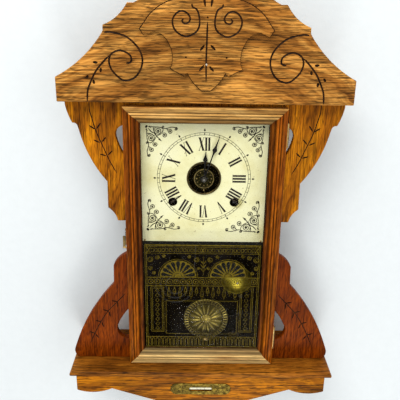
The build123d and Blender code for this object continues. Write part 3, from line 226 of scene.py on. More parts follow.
def oakMaterial(name, light, middle, dark, along, seed, arch, figure=1.0):
    material, tree, shader = startMaterial(name, Specular_IOR_Level=0.06)
    across, lengthwise = ("Z", "X") if along == "x" else ("X", "Z")

    def grain(stretch, shift, *texture):
        scale = (stretch, 1, 1) if along == "x" else (1, 1, stretch)
        shift += seed
        return noise(tree, placed(tree, scale, shift=(shift, shift * 0.7, shift * 1.3)), *texture)

    def darken(tone, share, mask, *span):
        return mixed(tree, share * figure, tone, ramp(tree, mask, gray(*span)), "MULTIPLY")

    coords = addNode(tree, "ShaderNodeSeparateXYZ")
    tree.links.new(placed(tree), coords.inputs[0])
    bow = calc(tree, "MULTIPLY", coords.outputs[lengthwise], coords.outputs[lengthwise])
    sway = calc(tree, "MULTIPLY", grain(0.22, 0, 11, 4, 0.55), 0.10)
    bowed = calc(tree, "ADD", coords.outputs[across], calc(tree, "MULTIPLY", bow, arch))
    field = calc(tree, "ADD", calc(tree, "ADD", bowed, sway), seed * 0.37)
    bandPlace = addNode(tree, "ShaderNodeCombineXYZ")
    tree.links.new(field, bandPlace.inputs[0])
    tree.links.new(calc(tree, "MULTIPLY", coords.outputs[lengthwise], 0.10), bandPlace.inputs[1])
    bands = noise(tree, bandPlace.outputs[0], 55, 3, 0.62)
    rings = noise(tree, bandPlace.outputs[0], 260, 2, 0.5)
    streak = grain(0.045, 0, 270, 4, 0.7)
    lines = grain(0.028, 2, 560, 3, 0.65)
    pores = ramp(tree, grain(0.030, 1, 760, 2, 0.55), gray(0.34, 0.50))
    tone = ramp(tree, bands, [(0.31, dark), (0.43, middle), (0.55, light), (0.74, light)])
    tone = mixed(tree, ramp(tree, rings, gray(0.40, 0.56, 0.55, 0.0)), tone, middle)
    tone = darken(tone, 0.55, streak, 0.36, 0.56, 0.50)
    tone = darken(tone, 0.85, lines, 0.41, 0.51, 0.24)
    tone = darken(tone, 0.85, grain(0.10, 4, 640, 1, 0.5), 0.36, 0.43, 0.30)  # flecks
    tone = mixed(tree, 0.5 * figure, tone, pores, "MULTIPLY")
    if name in ("oakStile", "oakRail", "oakLowRail"):  # painted shade in the mouldings' grooves, leaving their beads bright
        mouldingShade = [(place, (shade,) * 3) for place, shade in doorFrame["mouldingShade"]]
        tone = mixed(tree, 0.95, tone, ramp(tree, frameShare(tree, coords), mouldingShade), "MULTIPLY")
    tone = darken(tone, 0.6, noise(tree, placed(tree, shift=(seed, 0, 0)), 6, 3), 0.34, 0.62, 0.62)  # patches
    tone = darken(tone, 0.75, grain(0.22, 6, 26, 3, 0.6), 0.36, 0.52, 0.60, 1.06)  # clouds
    if name in ("oakShelf", "oakDark", "pineBack"):  # painted shade inside the case
        tone = mixed(tree, insideCase(tree, coords), tone, caseInside["paintedShade"])
    tree.links.new(tone, shader.inputs["Base Color"])
    tree.links.new(ramp(tree, streak, gray(0.2, 0.8, 0.52, 0.34)), shader.inputs["Roughness"])
    addBump(tree, shader, calc(tree, "ADD", pores, lines), 0.30, 0.0004)
    return material


# Metals, tarnished in patches and finely scratched: bright and dull tone, the two ends of roughness,
# scale of the patches, and for some the node and depths, in metres, between which painted shade darkens its
# hollows
metalLooks = {
    "agedBrass": ((0.62, 0.44, 0.17), (0.22, 0.135, 0.045), (0.28, 0.55), 60),
    "darkBrass": ((0.38, 0.27, 0.1), (0.1, 0.065, 0.025), (0.34, 0.6), 90),
    "dullSteel": ((0.42, 0.4, 0.37), (0.16, 0.14, 0.12), (0.32, 0.6), 80),
    "blackIron": ((0.055, 0.052, 0.05), (0.02, 0.018, 0.016), (0.5, 0.75), 70),
    "bobBrass": ((0.46, 0.36, 0.085), (0.22, 0.165, 0.034), (0.27, 0.42), 70, ("bob", 0.0009, 0.0023)),
    "bellBrass": ((0.8, 0.64, 0.07), (0.46, 0.36, 0.035), (0.3, 0.44), 50),
    "levelBrass": ((0.15, 0.102, 0.017), (0.045, 0.03, 0.006), (0.34, 0.55), 170),
    "alarmBrass": ((0.12, 0.105, 0.03), (0.045, 0.038, 0.012), (0.42, 0.6), 150,
                   ("alarm_disc", 0.0004, 0.0012)),
    "ringBrass": ((0.12, 0.085, 0.03), (0.035, 0.025, 0.012), (0.3, 0.5), 200),
    "shadowBrass": ((0.014, 0.01, 0.004), (0.006, 0.004, 0.002), (0.6, 0.8), 90),
    "nutSteel": ((0.16, 0.15, 0.12), (0.06, 0.055, 0.04), (0.2, 0.4), 200),
    "paleNail": ((0.8, 0.76, 0.66), (0.55, 0.48, 0.36), (0.35, 0.5), 300),
    "handBlack": ((0.009, 0.008, 0.007), (0.004, 0.003, 0.003), (0.55, 0.75), 120),
}


# How deep a point lies behind a node's front, between two depths
def depthShare(tree, node, shallow, deep):
    coords = addNode(tree, "ShaderNodeSeparateXYZ")
    tree.links.new(placed(tree), coords.inputs[0])
    span = addNode(tree, "ShaderNodeMapRange")
    span.inputs["From Min"].default_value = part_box(node)[0].y + shallow
    span.inputs["From Max"].default_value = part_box(node)[0].y + deep
    tree.links.new(coords.outputs["Y"], span.inputs["Value"])
    return span.outputs["Result"]


def metalMaterial(name, bright, dull, rough, patch, hollowShade=None):
    painted = name in ("handBlack", "blackIron")
    material, tree, shader = startMaterial(name, Metallic=0.0 if painted else 1.0,
                                           Specular_IOR_Level=0.12 if painted else 0.5)
    spots = noise(tree, placed(tree), patch, 5, 0.6)
    scratches = noise(tree, placed(tree, (1, 1, 0.1)), 900, 2, 0.5)
    tone = mixed(tree, ramp(tree, spots, gray(0.36, 0.68)), bright, dull)
    tone = mixed(tree, 0.22, tone, ramp(tree, scratches, gray(0.3, 0.7, 0.6, 1.0)), "MULTIPLY")
    # painted shade: the deeper parts of the relief are darkened
    if hollowShade:
        shade = ramp(tree, depthShare(tree, *hollowShade), gray(0.0, 1.0, 1.0, 0.12))
        tone = mixed(tree, 0.9, tone, shade, "MULTIPLY")
    tree.links.new(tone, shader.inputs["Base Color"])
    tree.links.new(ramp(tree, spots, gray(0.3, 0.75, *rough)), shader.inputs["Roughness"])
    addBump(tree, shader, calc(tree, "ADD", spots, scratches), 0.12, 0.0002)
    return material


# Dial paper: yellowed in clouds, specked, with one round stain low on the right
paperLook = {
    "tones": [(0.28, (0.76, 0.69, 0.30)), (0.5, (0.92, 0.885, 0.50)), (0.75, (0.95, 0.925, 0.60))],
    "speck": (0.40, 0.28, 0.13),
    "stain": (0.46, 0.40, 0.11),
    "stainAt": (0.0556, -0.231),
    "stainEdge": (0.0115, 0.0180),
}


def paperMaterial():
    look = paperLook
    material, tree, shader = startMaterial("dialPaper", Roughness=0.62, Sheen_Weight=0.05)
    cloud = noise(tree, placed(tree), 14, 5, 0.6)
    speck = noise(tree, placed(tree), 260, 3, 0.65)
    fibres = noise(tree, placed(tree, (1, 1, 0.35)), 900, 2)
    tone = ramp(tree, cloud, look["tones"])
    tone = mixed(tree, ramp(tree, speck, gray(0.68, 0.74)), tone, look["speck"])
    away = addNode(tree, "ShaderNodeVectorMath", operation="LENGTH")
    x, z = look["stainAt"]
    tree.links.new(placed(tree, (1, 0, 1), shift=(-x, 0, -z)), away.inputs[0])
    edge = calc(tree, "ADD", away.outputs["Value"], calc(tree, "MULTIPLY", cloud, 0.010))
    stain = ramp(tree, edge, gray(*look["stainEdge"], 0.80, 0.0), True)
    tree.links.new(mixed(tree, stain, tone, look["stain"]), shader.inputs["Base Color"])
    addBump(tree, shader, fibres, 0.08, 0.0002)
    return material


# Inks and paints: fresh and faded tone, and where wear begins
inkLooks = {
    "dialInk": ((0.030, 0.024, 0.020), (0.30, 0.25, 0.16), 0.60),
    "cornerInk": ((0.022, 0.018, 0.014), (0.20, 0.16, 0.10), 0.60),
    "stencilGold": ((0.150, 0.106, 0.010), (0.052, 0.035, 0.004), 0.47),
    "stencilBlack": ((0.010, 0.010, 0.008), (0.022, 0.020, 0.014), 0.50),
    "slotShadow": ((0.018, 0.013, 0.007), (0.045, 0.032, 0.014), 0.5),
}


def inkMaterial(name, fresh, faded, wear):
    material, tree, shader = startMaterial(name, Specular_IOR_Level=0.02)
    worn = noise(tree, placed(tree), 170, 4, 0.7)
    tone = mixed(tree, ramp(tree, worn, gray(wear, wear + 0.16)), fresh, faded)
    tree.links.new(tone, shader.inputs["Base Color"])
    tree.links.new(ramp(tree, worn, gray(0.3, 0.7, 0.5, 0.75)), shader.inputs["Roughness"])
    return material


# Glass: tint, share that is covered, and roughness; the door glass's near-black tint is painted shade that
# darkens the case seen through it
glassLooks = {"doorGlass": ((0.020, 0.015, 0.004), 0.05, 0.03), "vialGlass": ((0.90, 0.86, 0.62), 0.97, 0.12)}


def glassMaterial(name, tint, cover, rough):
    material, tree, shader = startMaterial(name, IOR=1.5, Alpha=cover, Specular_IOR_Level=0.12)
    smear = noise(tree, placed(tree), 18, 3, 0.5)
    tree.links.new(ramp(tree, smear, gray(0.3, 0.7, rough, rough + 0.05)), shader.inputs["Roughness"])
    smeared = tuple(0.9 * c for c in tint)
    tree.links.new(ramp(tree, smear, [(0.3, tint), (0.7, smeared)]), shader.inputs["Base Color"])
    return material


# The wall, open behind the case so that light reaches its back, in metres
wallLook = {"color": (0.75, 0.785, 0.78), "reach": 2.5, "plane": 0.0015, "margin": 0.0005, "tab": 0.0435,
            "tabZ": -0.005}


def wallMaterial():
    material, tree, shader = startMaterial("paleWall", Roughness=0.9)
    grain = noise(tree, placed(tree), 60, 6, 0.6)
    grayer = tuple(0.97 * c for c in wallLook["color"])
    tree.links.new(ramp(tree, grain, [(0.3, grayer), (0.7, wallLook["color"])]), shader.inputs["Base Color"])
    addBump(tree, shader, grain, 0.25, 0.002)
    side = addNode(tree, "ShaderNodeNewGeometry")  # nothing of the wall shows from behind
    clear = addNode(tree, "ShaderNodeBsdfTransparent")
    pick = addNode(tree, "ShaderNodeMixShader")
    for number, source in enumerate((side.outputs["Backfacing"], shader.outputs[0], clear.outputs[0])):
        tree.links.new(source, pick.inputs[number])
    tree.links.new(pick.outputs[0], tree.nodes["Material Output"].inputs[0])
    return material


finishes = {"dialPaper": paperMaterial(), "paleWall": wallMaterial()}
for make, looks in ((oakMaterial, oakLooks), (metalMaterial, metalLooks), (inkMaterial, inkLooks),
                    (glassMaterial, glassLooks)):
    for name, look in looks.items():
        finishes[name] = make(name, *look)
print("materials ready:", len(finishes))

# Finish of each CAD node, by the record's slot and then by exception
slotFinish = {
    "oak_crown": "oakCrown", "oak_wing": "oakWing", "oak_door": "oakStile", "oak_rail": "oakRail",
    "oak_case": "oakDark", "pine_back": "pineBack", "steel": "dullSteel", "iron": "blackIron",
    "brass": "agedBrass", "glass": "doorGlass", "vial": "vialGlass", "dial_paper": "dialPaper",
    "hand_black": "handBlack",
}
# Near-black finishes for the parts deep inside the case are painted shade: the movement's plate, wheels,
# pendulum rod and alarm frame, the gong, the hammers and the winding arbors
nodeFinish = {
    "apron": "oakApron", "base_shelf": "oakShelf", "alarm_disc": "alarmBrass", "dial_ring": "ringBrass",
    "level_plate": "levelBrass", "movement_front_plate": "shadowBrass", "gong_coil": "blackIron",
    "strike_hammer": "blackIron", "alarm_frame": "shadowBrass", "alarm_hammer": "blackIron",
    "pendulum_rod": "shadowBrass", "door_rail_bottom": "oakLowRail", "hand_nut": "nutSteel",
    "latch": "darkBrass", "minute_wheel": "shadowBrass",
    "hour_wheel": "shadowBrass", "time_winding_arbor": "blackIron", "strike_winding_arbor": "blackIron",
    "glue_blocks": "oakWing",
}


def dress(piece, finish):
    piece.data.materials.clear()
    piece.data.materials.append(finishes[finish])


for row in frame["record"]["subparts"]:
    node = row["node"]
    dress(nodes[node], nodeFinish.get(node, slotFinish[row["material_slot"]]))
print("nodes dressed")


# Mesh helpers
def linkMesh(name, mesh, finish):
    data = bpy.data.meshes.new(name)
    mesh.to_mesh(data)
    mesh.free()
    for one in finish.split():
        data.materials.append(finishes[one])
    piece = bpy.data.objects.new(name, data)
    bpy.context.collection.objects.link(piece)
    return piece


def newPiece(name, mesh, finish, body, slot, *replaced):
    piece = linkMesh(name, mesh, finish)
    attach(piece, body)
    if replaced:
        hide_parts(*replaced)
    return piece


# Flat work faces the front
def faceFront(face):
    face.normal_update()
    if face.normal.y > 0:
        face.normal_flip()


# Faces between neighbouring rows of points, each row closed into a ring
def bridgeRows(mesh, rows, smooth=False, inwards=False):
    for first, second in zip(rows, rows[1:]):
        for step in range(len(first)):
            after = (step + 1) % len(first)
            corners = (first[step], first[after], second[after], second[step])
            if inwards:
                corners = (first[step], second[step], second[after], first[after])
            mesh.faces.new(corners).smooth = smooth


def addStage():
    reach, margin, tab = wallLook["reach"], wallLook["margin"], wallLook["tab"]
    half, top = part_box("case_side_right")[1].x - margin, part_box("case_side_right")[1].z - margin
    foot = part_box("backboard")[0].z + margin
    outer = [(-reach, -reach), (reach, -reach), (reach, reach), (-reach, reach)]
    inner = [(-half, foot), (half, foot), (half, top), (tab, top)]
    for step in range(7):  # round the hanger's tab
        angle = math.pi * step / 6
        inner.append((tab * math.cos(angle), wallLook["tabZ"] + tab * math.sin(angle)))
    inner += [(-tab, top), (-half, top)]
    wall = bmesh.new()
    for outline in (outer, inner):
        corners = [wall.verts.new((x, wallLook["plane"], z)) for x, z in outline]
        for first, second in zip(corners, corners[1:] + corners[:1]):
            wall.edges.new((first, second))
    bmesh.ops.triangle_fill(wall, use_beauty=True, use_dissolve=False, edges=wall.edges)
    for face in wall.faces:
        faceFront(face)
    linkMesh("wallBackdrop", wall, "paleWall")


# Soft studio light: an even world, a broad key high on the left, and low fills
worldLook = {"color": (0.95, 0.97, 1.0, 1), "strength": 0.72, "aim": (0, -0.08, -0.2)}
lamps = {
    "keyLamp": {"at": (-0.6, -1.5, 1.6), "size": 1.3, "power": 41},
    "fillLamp": {"at": (1.5, -1.6, 0.1), "size": 1.8, "power": 8},
    "bounceLamp": {"at": (0.12, -1.15, -1.30), "size": 0.45, "power": 5},
    "backLamp": {"at": (0.3, 1.6, 0.8), "size": 1.6, "power": 10},
}


def addLight():
    world = bpy.data.worlds.new("studioWorld")
    world.use_nodes = True
    background = world.node_tree.nodes["Background"]
    background.inputs["Color"].default_value = worldLook["color"]
    background.inputs["Strength"].default_value = worldLook["strength"]
    bpy.context.scene.world = world
    for name, lamp in lamps.items():
        light = bpy.data.lights.new(name, "AREA")
        light.energy = lamp["power"]
        light.size = lamp["size"]
        holder = bpy.data.objects.new(name, light)
        holder.location = lamp["at"]
        aim = Vector(worldLook["aim"]) - holder.location
        holder.rotation_euler = aim.to_track_quat("-Z", "Y").to_euler()
        bpy.context.collection.objects.link(holder)


addCamera()
addStage()
addLight()
bpy.context.scene.view_settings.view_transform = "Standard"
print("camera, backdrop and light set")


print("camera, backdrop and light set")

# Curves drawn through given points, in millimetres on a front-facing plane
def smoothed(points, steps=6):
    spots = [Vector(point) for point in points]
    spots = [2 * spots[0] - spots[1], *spots, 2 * spots[-1] - spots[-2]]
    line = []
    for i in range(1, len(spots) - 2):
        before, here, there, after = spots[i - 1:i + 3]
        for step in range(steps):
            t = step / steps
            bend = 2 * before - 5 * here + 4 * there - after
            end = 3 * here - before - 3 * there + after
            line.append(0.5 * (2 * here + (there - before) * t + bend * t * t + end * t ** 3))
    line.append(spots[-2])
    return line


def mirrored(points, side):
    return [(side * x, z) for x, z in points]


def polar(centre, radius, angle):
    return centre[0] + radius * math.cos(angle), centre[1] + radius * math.sin(angle)


def spiral(centre, radius, turns, start, spin=1, inner=0.12):
    steps = int(20 * turns)
    line = []
    for step in range(steps + 1):
        share = step / steps
        angle = math.radians(start) + spin * share * turns * math.tau
        line.append(polar(centre, radius * (1 - share * (1 - inner)), angle))
    return line


def sideways(line, index):
    ahead = (line[min(index + 1, len(line) - 1)] - line[max(index - 1, 0)]).normalized()
    return Vector((-ahead.y, ahead.x))


# A gouge line: a round bar half sunk in the face, thinner at both ends
def addGouge(mesh, points, radius, faceY, lift=0.45, sides=8):
    line = smoothed(points)
    rows = []
    for index, spot in enumerate(line):
        edge = min(index, len(line) - 1 - index) / 3
        reach = radius * (0.25 + 0.75 * min(1, edge)) * mm
        side = sideways(line, index)
        row = []
        for turn in range(sides):
            angle = math.tau * turn / sides
            across = side * math.cos(angle) * reach
            depth = faceY - lift * radius * mm + math.sin(angle) * reach
            row.append(mesh.verts.new((spot.x * mm + across.x, depth, spot.y * mm + across.y)))
        rows.append(row)
    bridgeRows(mesh, rows)
    mesh.faces.new(rows[0])
    mesh.faces.new(rows[-1][::-1])


# A leaf is one short deep gouge cut, broad in the middle
def addLeaf(mesh, start, end, width, faceY):
    a, b = Vector(start), Vector(end)
    along = b - a
    matrix = (
        Matrix.Translation(((a.x + b.x) / 2 * mm, faceY - 0.25 * width * mm, (a.y + b.y) / 2 * mm))
        @ Matrix.Rotation(-math.atan2(along.y, along.x), 4, "Y")
        @ Matrix.Diagonal((along.length / 2 * mm, width * mm * 0.75, width / 2 * mm, 1))
    )
    bmesh.ops.create_uvsphere(mesh, u_segments=10, v_segments=6, radius=1, matrix=matrix)


def mergedCopy(node, bevel=0.0):
    mesh = bmesh.new()
    mesh.from_mesh(nodes[node].data)
    bmesh.ops.remove_doubles(mesh, verts=mesh.verts, dist=1e-6)
    bmesh.ops.dissolve_limit(mesh, angle_limit=math.radians(1), verts=mesh.verts, edges=mesh.edges)
    if bevel:
        sharp = []
        for edge in mesh.edges:
            if len(edge.link_faces) == 2 and edge.calc_face_angle() > math.radians(50):
                sharp.append(edge)
        bmesh.ops.bevel(mesh, geom=sharp, offset=bevel, segments=2, profile=0.5, affect="EDGES", material=-1)
    return mesh


def carvedPiece(name, node, slot, finish, cutter, bevel):
    both = finish + " carvedGroove"
    piece = newPiece(name, mergedCopy(node, bevel), both, "root", slot, node)
    for face in cutter.faces:
        face.material_index = 1
    bmesh.ops.recalc_face_normals(cutter, faces=cutter.faces)
    tool = linkMesh(name + "Cutter", cutter, both)
    cut = piece.modifiers.new("carving", "BOOLEAN")
    cut.operation = "DIFFERENCE"
    cut.solver = "EXACT"
    cut.use_self = True
    cut.object = tool
    result = bpy.data.meshes.new_from_object(piece.evaluated_get(bpy.context.evaluated_depsgraph_get()))
    piece.modifiers.clear()
    piece.data = result
    result.name = name
    bpy.data.objects.remove(tool)
    return piece


# Carved lines, in mm from the clock's middle and the hanger hole
crownCarving = {
    "spiral": [(-149.3, 36), (-137, 37), (-115.9, 31), (-99.8, 16.8), (-93.5, 2.5), (-94.6, -10.6),
               (-100.7, -22.1), (-109.4, -28.9), (-121.2, -30.8), (-131.1, -24.3), (-139.1, -14.5),
               (-141.9, -3), (-138.2, 6.6), (-128.1, 11.7), (-118.3, 10.1), (-110.1, 3.8), (-110.3, -4.3),
               (-118.8, -6.8)],
    "tail": [(-139.5, 6.5), (-152.1, -6.4), (-162.8, -19.7), (-172.1, -38.2), (-175.3, -48.2), (-176.9, -66)],
    "leaves": [((-158, -6), (-166, -5)), ((-154, -13), (-155, -20)), ((-173, -24), (-177, -29)),
               ((-166, -30), (-165, -37))],
    "width": 1.7,
    "leafWidth": 4.2,
}
overlayCarving = {
    "spiral": [(-22, 78), (-21, 73), (-14.7, 68.9), (-11.4, 59.1), (-11.2, 47.6), (-15.9, 39),
               (-26.6, 33.2), (-34.7, 33.9), (-43.7, 39.2), (-48.6, 47.7), (-48.6, 57), (-42.8, 64.8),
               (-35.6, 67.2), (-28.3, 64.2), (-24.2, 57.3), (-26.7, 51.9), (-32.3, 50.4), (-35.6, 54.1),
               (-32.4, 58)],
    "stem": [(0.5, 58), (0, 30), (-0.5, 0), (0, -38)],
    "leaves": [((-3, 22), (-10, 13)), ((5, 22), (13, 14)), ((-3, -6), (-11, -16)), ((4, -8), (11, -16)),
               ((-6, 92), (-3, 72)), ((8, 92), (5, 72))],
    "width": 1.6,
    "leafWidth": 3.8,
    "dots": [(-30, 4), (29, 4), (0.5, 59)],
    "edge": 0.0009,
}
wingCarving = {
    "upper": [(-178.6, -60), (-178.4, -77.7), (-174.8, -94.2), (-168.8, -115.3), (-160, -137),
              (-150.5, -160), (-138, -184)],
    "upperLeaves": [((-170, -110), (-181, -103)), ((-169, -109), (-162, -99)), ((-164, -131), (-175, -126)),
                    ((-162, -130), (-154, -121)), ((-155, -152), (-166, -149)), ((-153, -151), (-145, -143))],
    "lower": [(-129.7, -395.3), (-145.4, -412.7), (-167.2, -438), (-185.5, -470.3), (-201, -506)],
    "lowerLeaves": [((-147, -415), (-158, -413)), ((-147, -415), (-147, -428)), ((-163, -434),
                                                                                 (-174, -431)),
                                                                                 ((-163, -434),
                                                                                  (-161, -446)),
                                                                                  ((-177, -456),
                                                                                   (-188, -453)),
                                                                                   ((-177, -456),
                                                                                    (-173, -467)),
                                                                                    ((-189, -480),
                                                                                     (-200, -476)),
                                                                                     ((-189, -480),
                                                                                      (-183, -490))],
    "width": 1.0,
    "leafWidth": 2.6,
}
edgeWear = 0.0012  # rounding of the outer edges of the boards


# A carved line with its leaves, on one side
def addCarving(cutter, look, line, leaves, faceY, side=1):
    addGouge(cutter, mirrored(look[line], side), look["width"], faceY)
    for leaf in look.get(leaves, []):
        addLeaf(cutter, *mirrored(leaf, side), look["leafWidth"], faceY)


def carveBoards():
    cutter = bmesh.new()
    for side in (1, -1):
        addCarving(cutter, crownCarving, "spiral", None, crownY, side)
        addCarving(cutter, crownCarving, "tail", "leaves", crownY, side)
    carvedPiece("crownBoard", "crown", "oak_crown", "oakCrown", cutter, edgeWear)
    look = overlayCarving
    cutter = bmesh.new()
    for side in (1, -1):
        addCarving(cutter, look, "spiral", None, overlayY, side)
    addCarving(cutter, look, "stem", "leaves", overlayY)
    for x, z in look["dots"]:
        addLeaf(cutter, (x - 1.5, z), (x + 1.5, z), 3.0, overlayY)
    shield = carvedPiece("crownShield", "crown_overlay", "oak_crown", "oakCrown", cutter, look["edge"])
    for face in shield.data.polygons:
        if abs(face.normal.y) < 0.3:  # painted shade and dirt along its rim
            face.material_index = 1
    for side, name in ((1, "left"), (-1, "right")):
        for level, finish in (("upper", "oakWing"), ("lower", "oakLowWing")):
            cutter = bmesh.new()
            addCarving(cutter, wingCarving, level, level + "Leaves", boardY, side)
            node = f"wing_{level}_{name}"
            carvedPiece(f"{level}Wing{name.title()}", node, "oak_wing", finish, cutter, edgeWear)


carveBoards()
newPiece("apronBoard", mergedCopy("apron", edgeWear), "oakApron", "root", "oak_crown", "apron")
print("boards carved")


# Turned pieces with raised work: rings of points whose depth follows from radius and angle
def addRing(mesh, centre, radius, count, depthAt):
    row = []
    for step in range(count):
        angle = math.tau * step / count
        x = centre[0] + radius * math.sin(angle)
        z = centre[1] + radius * math.cos(angle)
        row.append(mesh.verts.new((x * mm, depthAt(radius, angle), z * mm)))
    return row


def sunkRing(mesh, row, planeY):
    return [mesh.verts.new((vert.co.x, planeY, vert.co.z)) for vert in row]


def steppedRadii(first, last, steps):
    return [first + step * (last - first) / steps for step in range(steps + 1)]


def reliefDisc(centre, frontY, radii, spokes, depthAt, backY=None):
    mesh = bmesh.new()

    def pressed(radius, angle):
        return frontY + depthAt(radius, angle) * mm

    rows = [addRing(mesh, centre, radius, spokes, pressed) for radius in radii]
    bridgeRows(mesh, rows, inwards=True)
    mesh.faces.new(rows[0])
    if backY is not None:
        back = sunkRing(mesh, rows[-1], backY)
        bridgeRows(mesh, [rows[-1], back], inwards=True)
        mesh.faces.new(back)
    bmesh.ops.recalc_face_normals(mesh, faces=mesh.faces)
    for face in mesh.faces:
        face.smooth = len(face.verts) == 4
    return mesh


def boxMm(node):
    low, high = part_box(node)
    return low / mm, high / mm


def middleOf(node):
    low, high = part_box(node)
    return (low.x + high.x) / 2 / mm, (low.z + high.z) / 2 / mm


bobLook = {"radius": 39.7, "dome": 30.5, "petals": 16, "rise": 1.9, "hub": 9.0, "boss": 3.5, "reeds": 44,
           "reedFrom": 31.8, "reedTo": 38.4, "rings": ((30.6, 1.3), (10.2, 1.2))}
bellLook = {"radius": 28.5, "depth": 16.0, "rim": 0.955, "wall": 0.0009}


def bobDepth(radius, angle):
    look = bobLook
    if radius > look["dome"]:  # reeded rim between two plain rings
        share = (radius - look["dome"]) / (look["radius"] - look["dome"])
        if share < 0.12 or share > 0.86:
            return 1.0 + 1.3 * max(0, share - 0.86) / 0.14
        return 0.9 + 1.5 * (0.5 + 0.5 * math.cos(angle * look["reeds"])) ** 1.5
    share = radius / look["dome"]
    dome = 0.1 + 2.2 * share ** 2
    hub, boss = look["hub"], look["boss"]
    if radius < boss:
        return dome + 0.5 * (radius / boss) ** 2
    if radius < hub:  # rosette of beads round the boss
        bead = abs(math.cos(angle * 4)) * math.sin(math.pi * (radius - boss) / (hub - boss))
        return dome + 1.5 - 1.3 * bead
    across = abs(math.sin(angle * look["petals"] / 2))
    taper = math.sin(math.pi * min(1, (radius - hub) / (look["dome"] - hub))) ** 0.6
    ridge = max(0, 1 - (1 - across) / (0.10 + 0.50 * taper))
    return dome + look["rise"] * (1 - ridge)


def bellDepth(radius, angle):
    share, rim = radius / bellLook["radius"], bellLook["rim"]
    if share > rim:  # rolled forward
        share = rim - 0.5 * (share - rim)
    return bellLook["depth"] * (1 - math.sqrt(max(0, 1 - 0.96 * share ** 2))) / 0.8


def addBob():
    low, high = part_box("bob")
    radii = steppedRadii(0.6, bobLook["radius"], 58)
    mesh = reliefDisc(middleOf("bob"), low.y, radii, 360, bobDepth, high.y)
    newPiece("bobDisc", mesh, "bobBrass", "bob", "brass", "bob")


def addBell():
    low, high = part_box("alarm_bell")
    mesh = reliefDisc(middleOf("alarm_bell"), low.y, steppedRadii(2, bellLook["radius"], 18), 72, bellDepth)
    bmesh.ops.solidify(mesh, geom=mesh.faces, thickness=bellLook["wall"])
    for vert in mesh.verts:
        vert.co.y = min(vert.co.y, high.y)
    bmesh.ops.recalc_face_normals(mesh, faces=mesh.faces)
    newPiece("bellDome", mesh, "bellBrass", "root", "brass", "alarm_bell")


addBob()
addBell()
print("bob and bell pressed")


layer = 0.00001  # print on print lies this far apart, in metres


# Flat printed work: ribbons and filled shapes that lie in one plane and face the front
def addShape(mesh, points, planeY):
    faceFront(mesh.faces.new([mesh.verts.new((x * mm, planeY, z * mm)) for x, z in points]))


def addRibbon(mesh, points, width, planeY, taper=True, closed=False):
    line = [Vector(point) for point in points]
    rows = []
    for index, spot in enumerate(line):
        edge = min(index, len(line) - 1 - index) / 3 if taper else 1
        reach = width / 2 * (0.35 + 0.65 * min(1, edge))
        if closed:
            ahead = (line[(index + 1) % len(line)] - line[index - 1]).normalized()
            side = Vector((-ahead.y, ahead.x))
        else:
            side = sideways(line, index)
        pair = []
        for sign in (1, -1):
            place = spot + side * reach * sign
            pair.append(mesh.verts.new((place.x * mm, planeY, place.y * mm)))
        rows.append(pair)
    if closed:
        rows.append(rows[0])
    for first, second in zip(rows, rows[1:]):
        faceFront(mesh.faces.new((first[0], first[1], second[1], second[0])))


def circle(centre, radius, count=24, start=0, sweep=360):
    steps = count if sweep == 360 else count + 1
    return [polar(centre, radius, math.radians(start + sweep * step / count)) for step in range(steps)]


def lozenge(x, z, half, tall):
    return [(x - half, z), (x, z + tall), (x + half, z), (x, z - tall)]


def addBox(mesh, low, high, width, planeY):
    corners = [(low[0], low[1]), (high[0], low[1]), (high[0], high[1]), (low[0], high[1])]
    for first, second in zip(corners, corners[1:] + corners[:1]):
        addRibbon(mesh, [first, second], width, planeY, taper=False)


# Dial print: radii and sizes in mm about the dial's centre
dialPrint = {
    "numerals": ["XII", "I", "II", "III", "IIII", "V", "VI", "VII", "VIII", "IX", "X", "XI"],
    "inner": 46.5,
    "height": 21.5,
    "serif": 0.024,
    "track": (72.2, 75.8),
    "trackLine": 0.55,
    "ticks": (1.1, 0.5),
    "diamond": 79.6,
    "diamondSize": (2.9, 1.7, 2.1),
    "lift": 0.00025,
}
glyphs = {  # width, then the corners of each stroke, for a height of one
    "I": (4.9, [[(0.95, 0), (3.95, 0), (3.95, 1), (0.95, 1)]]),
    "V": (9.4, [[(4.0, 0), (5.6, 0), (3.9, 1), (0.5, 1)], [(4.7, 0), (5.3, 0), (8.5, 1), (7.8, 1)]]),
    "X": (10.2, [[(6.6, 0), (9.9, 0), (3.8, 1), (0.5, 1)], [(1.1, 0), (1.8, 0), (9.0, 1), (8.3, 1)]]),
}
serifs = {"I": [(0.3, 4.6, 0), (0.3, 4.6, 1)], "V": [(0.1, 4.3, 1), (7.0, 9.3, 1)],
          "X": [(0.1, 4.3, 1), (7.5, 9.9, 1), (0.3, 2.7, 0), (6.2, 10.1, 0)]}


def addNumeral(mesh, text, hour, planeY):
    angle = math.tau * hour / 12
    start = -sum(glyphs[letter][0] for letter in text) / 2
    thick = dialPrint["serif"]

    def onDial(points):
        turned = []
        for u, v in points:
            out = dialPrint["inner"] + v * dialPrint["height"]
            x = (start + u) * math.cos(angle) + out * math.sin(angle)
            turned.append((x, out * math.cos(angle) - (start + u) * math.sin(angle) + dialZ / mm))
        return turned

    for letter in text:
        advance, strokes = glyphs[letter]
        for stroke in strokes:
            addShape(mesh, onDial(stroke), planeY)
        for left, right, level in serifs[letter]:
            low, high = (0, thick) if level == 0 else (1 - thick, 1)
            corners = [(left, low), (right, low), (right, high), (left, high)]
            addShape(mesh, onDial(corners), planeY - 2 * layer)
        start += advance


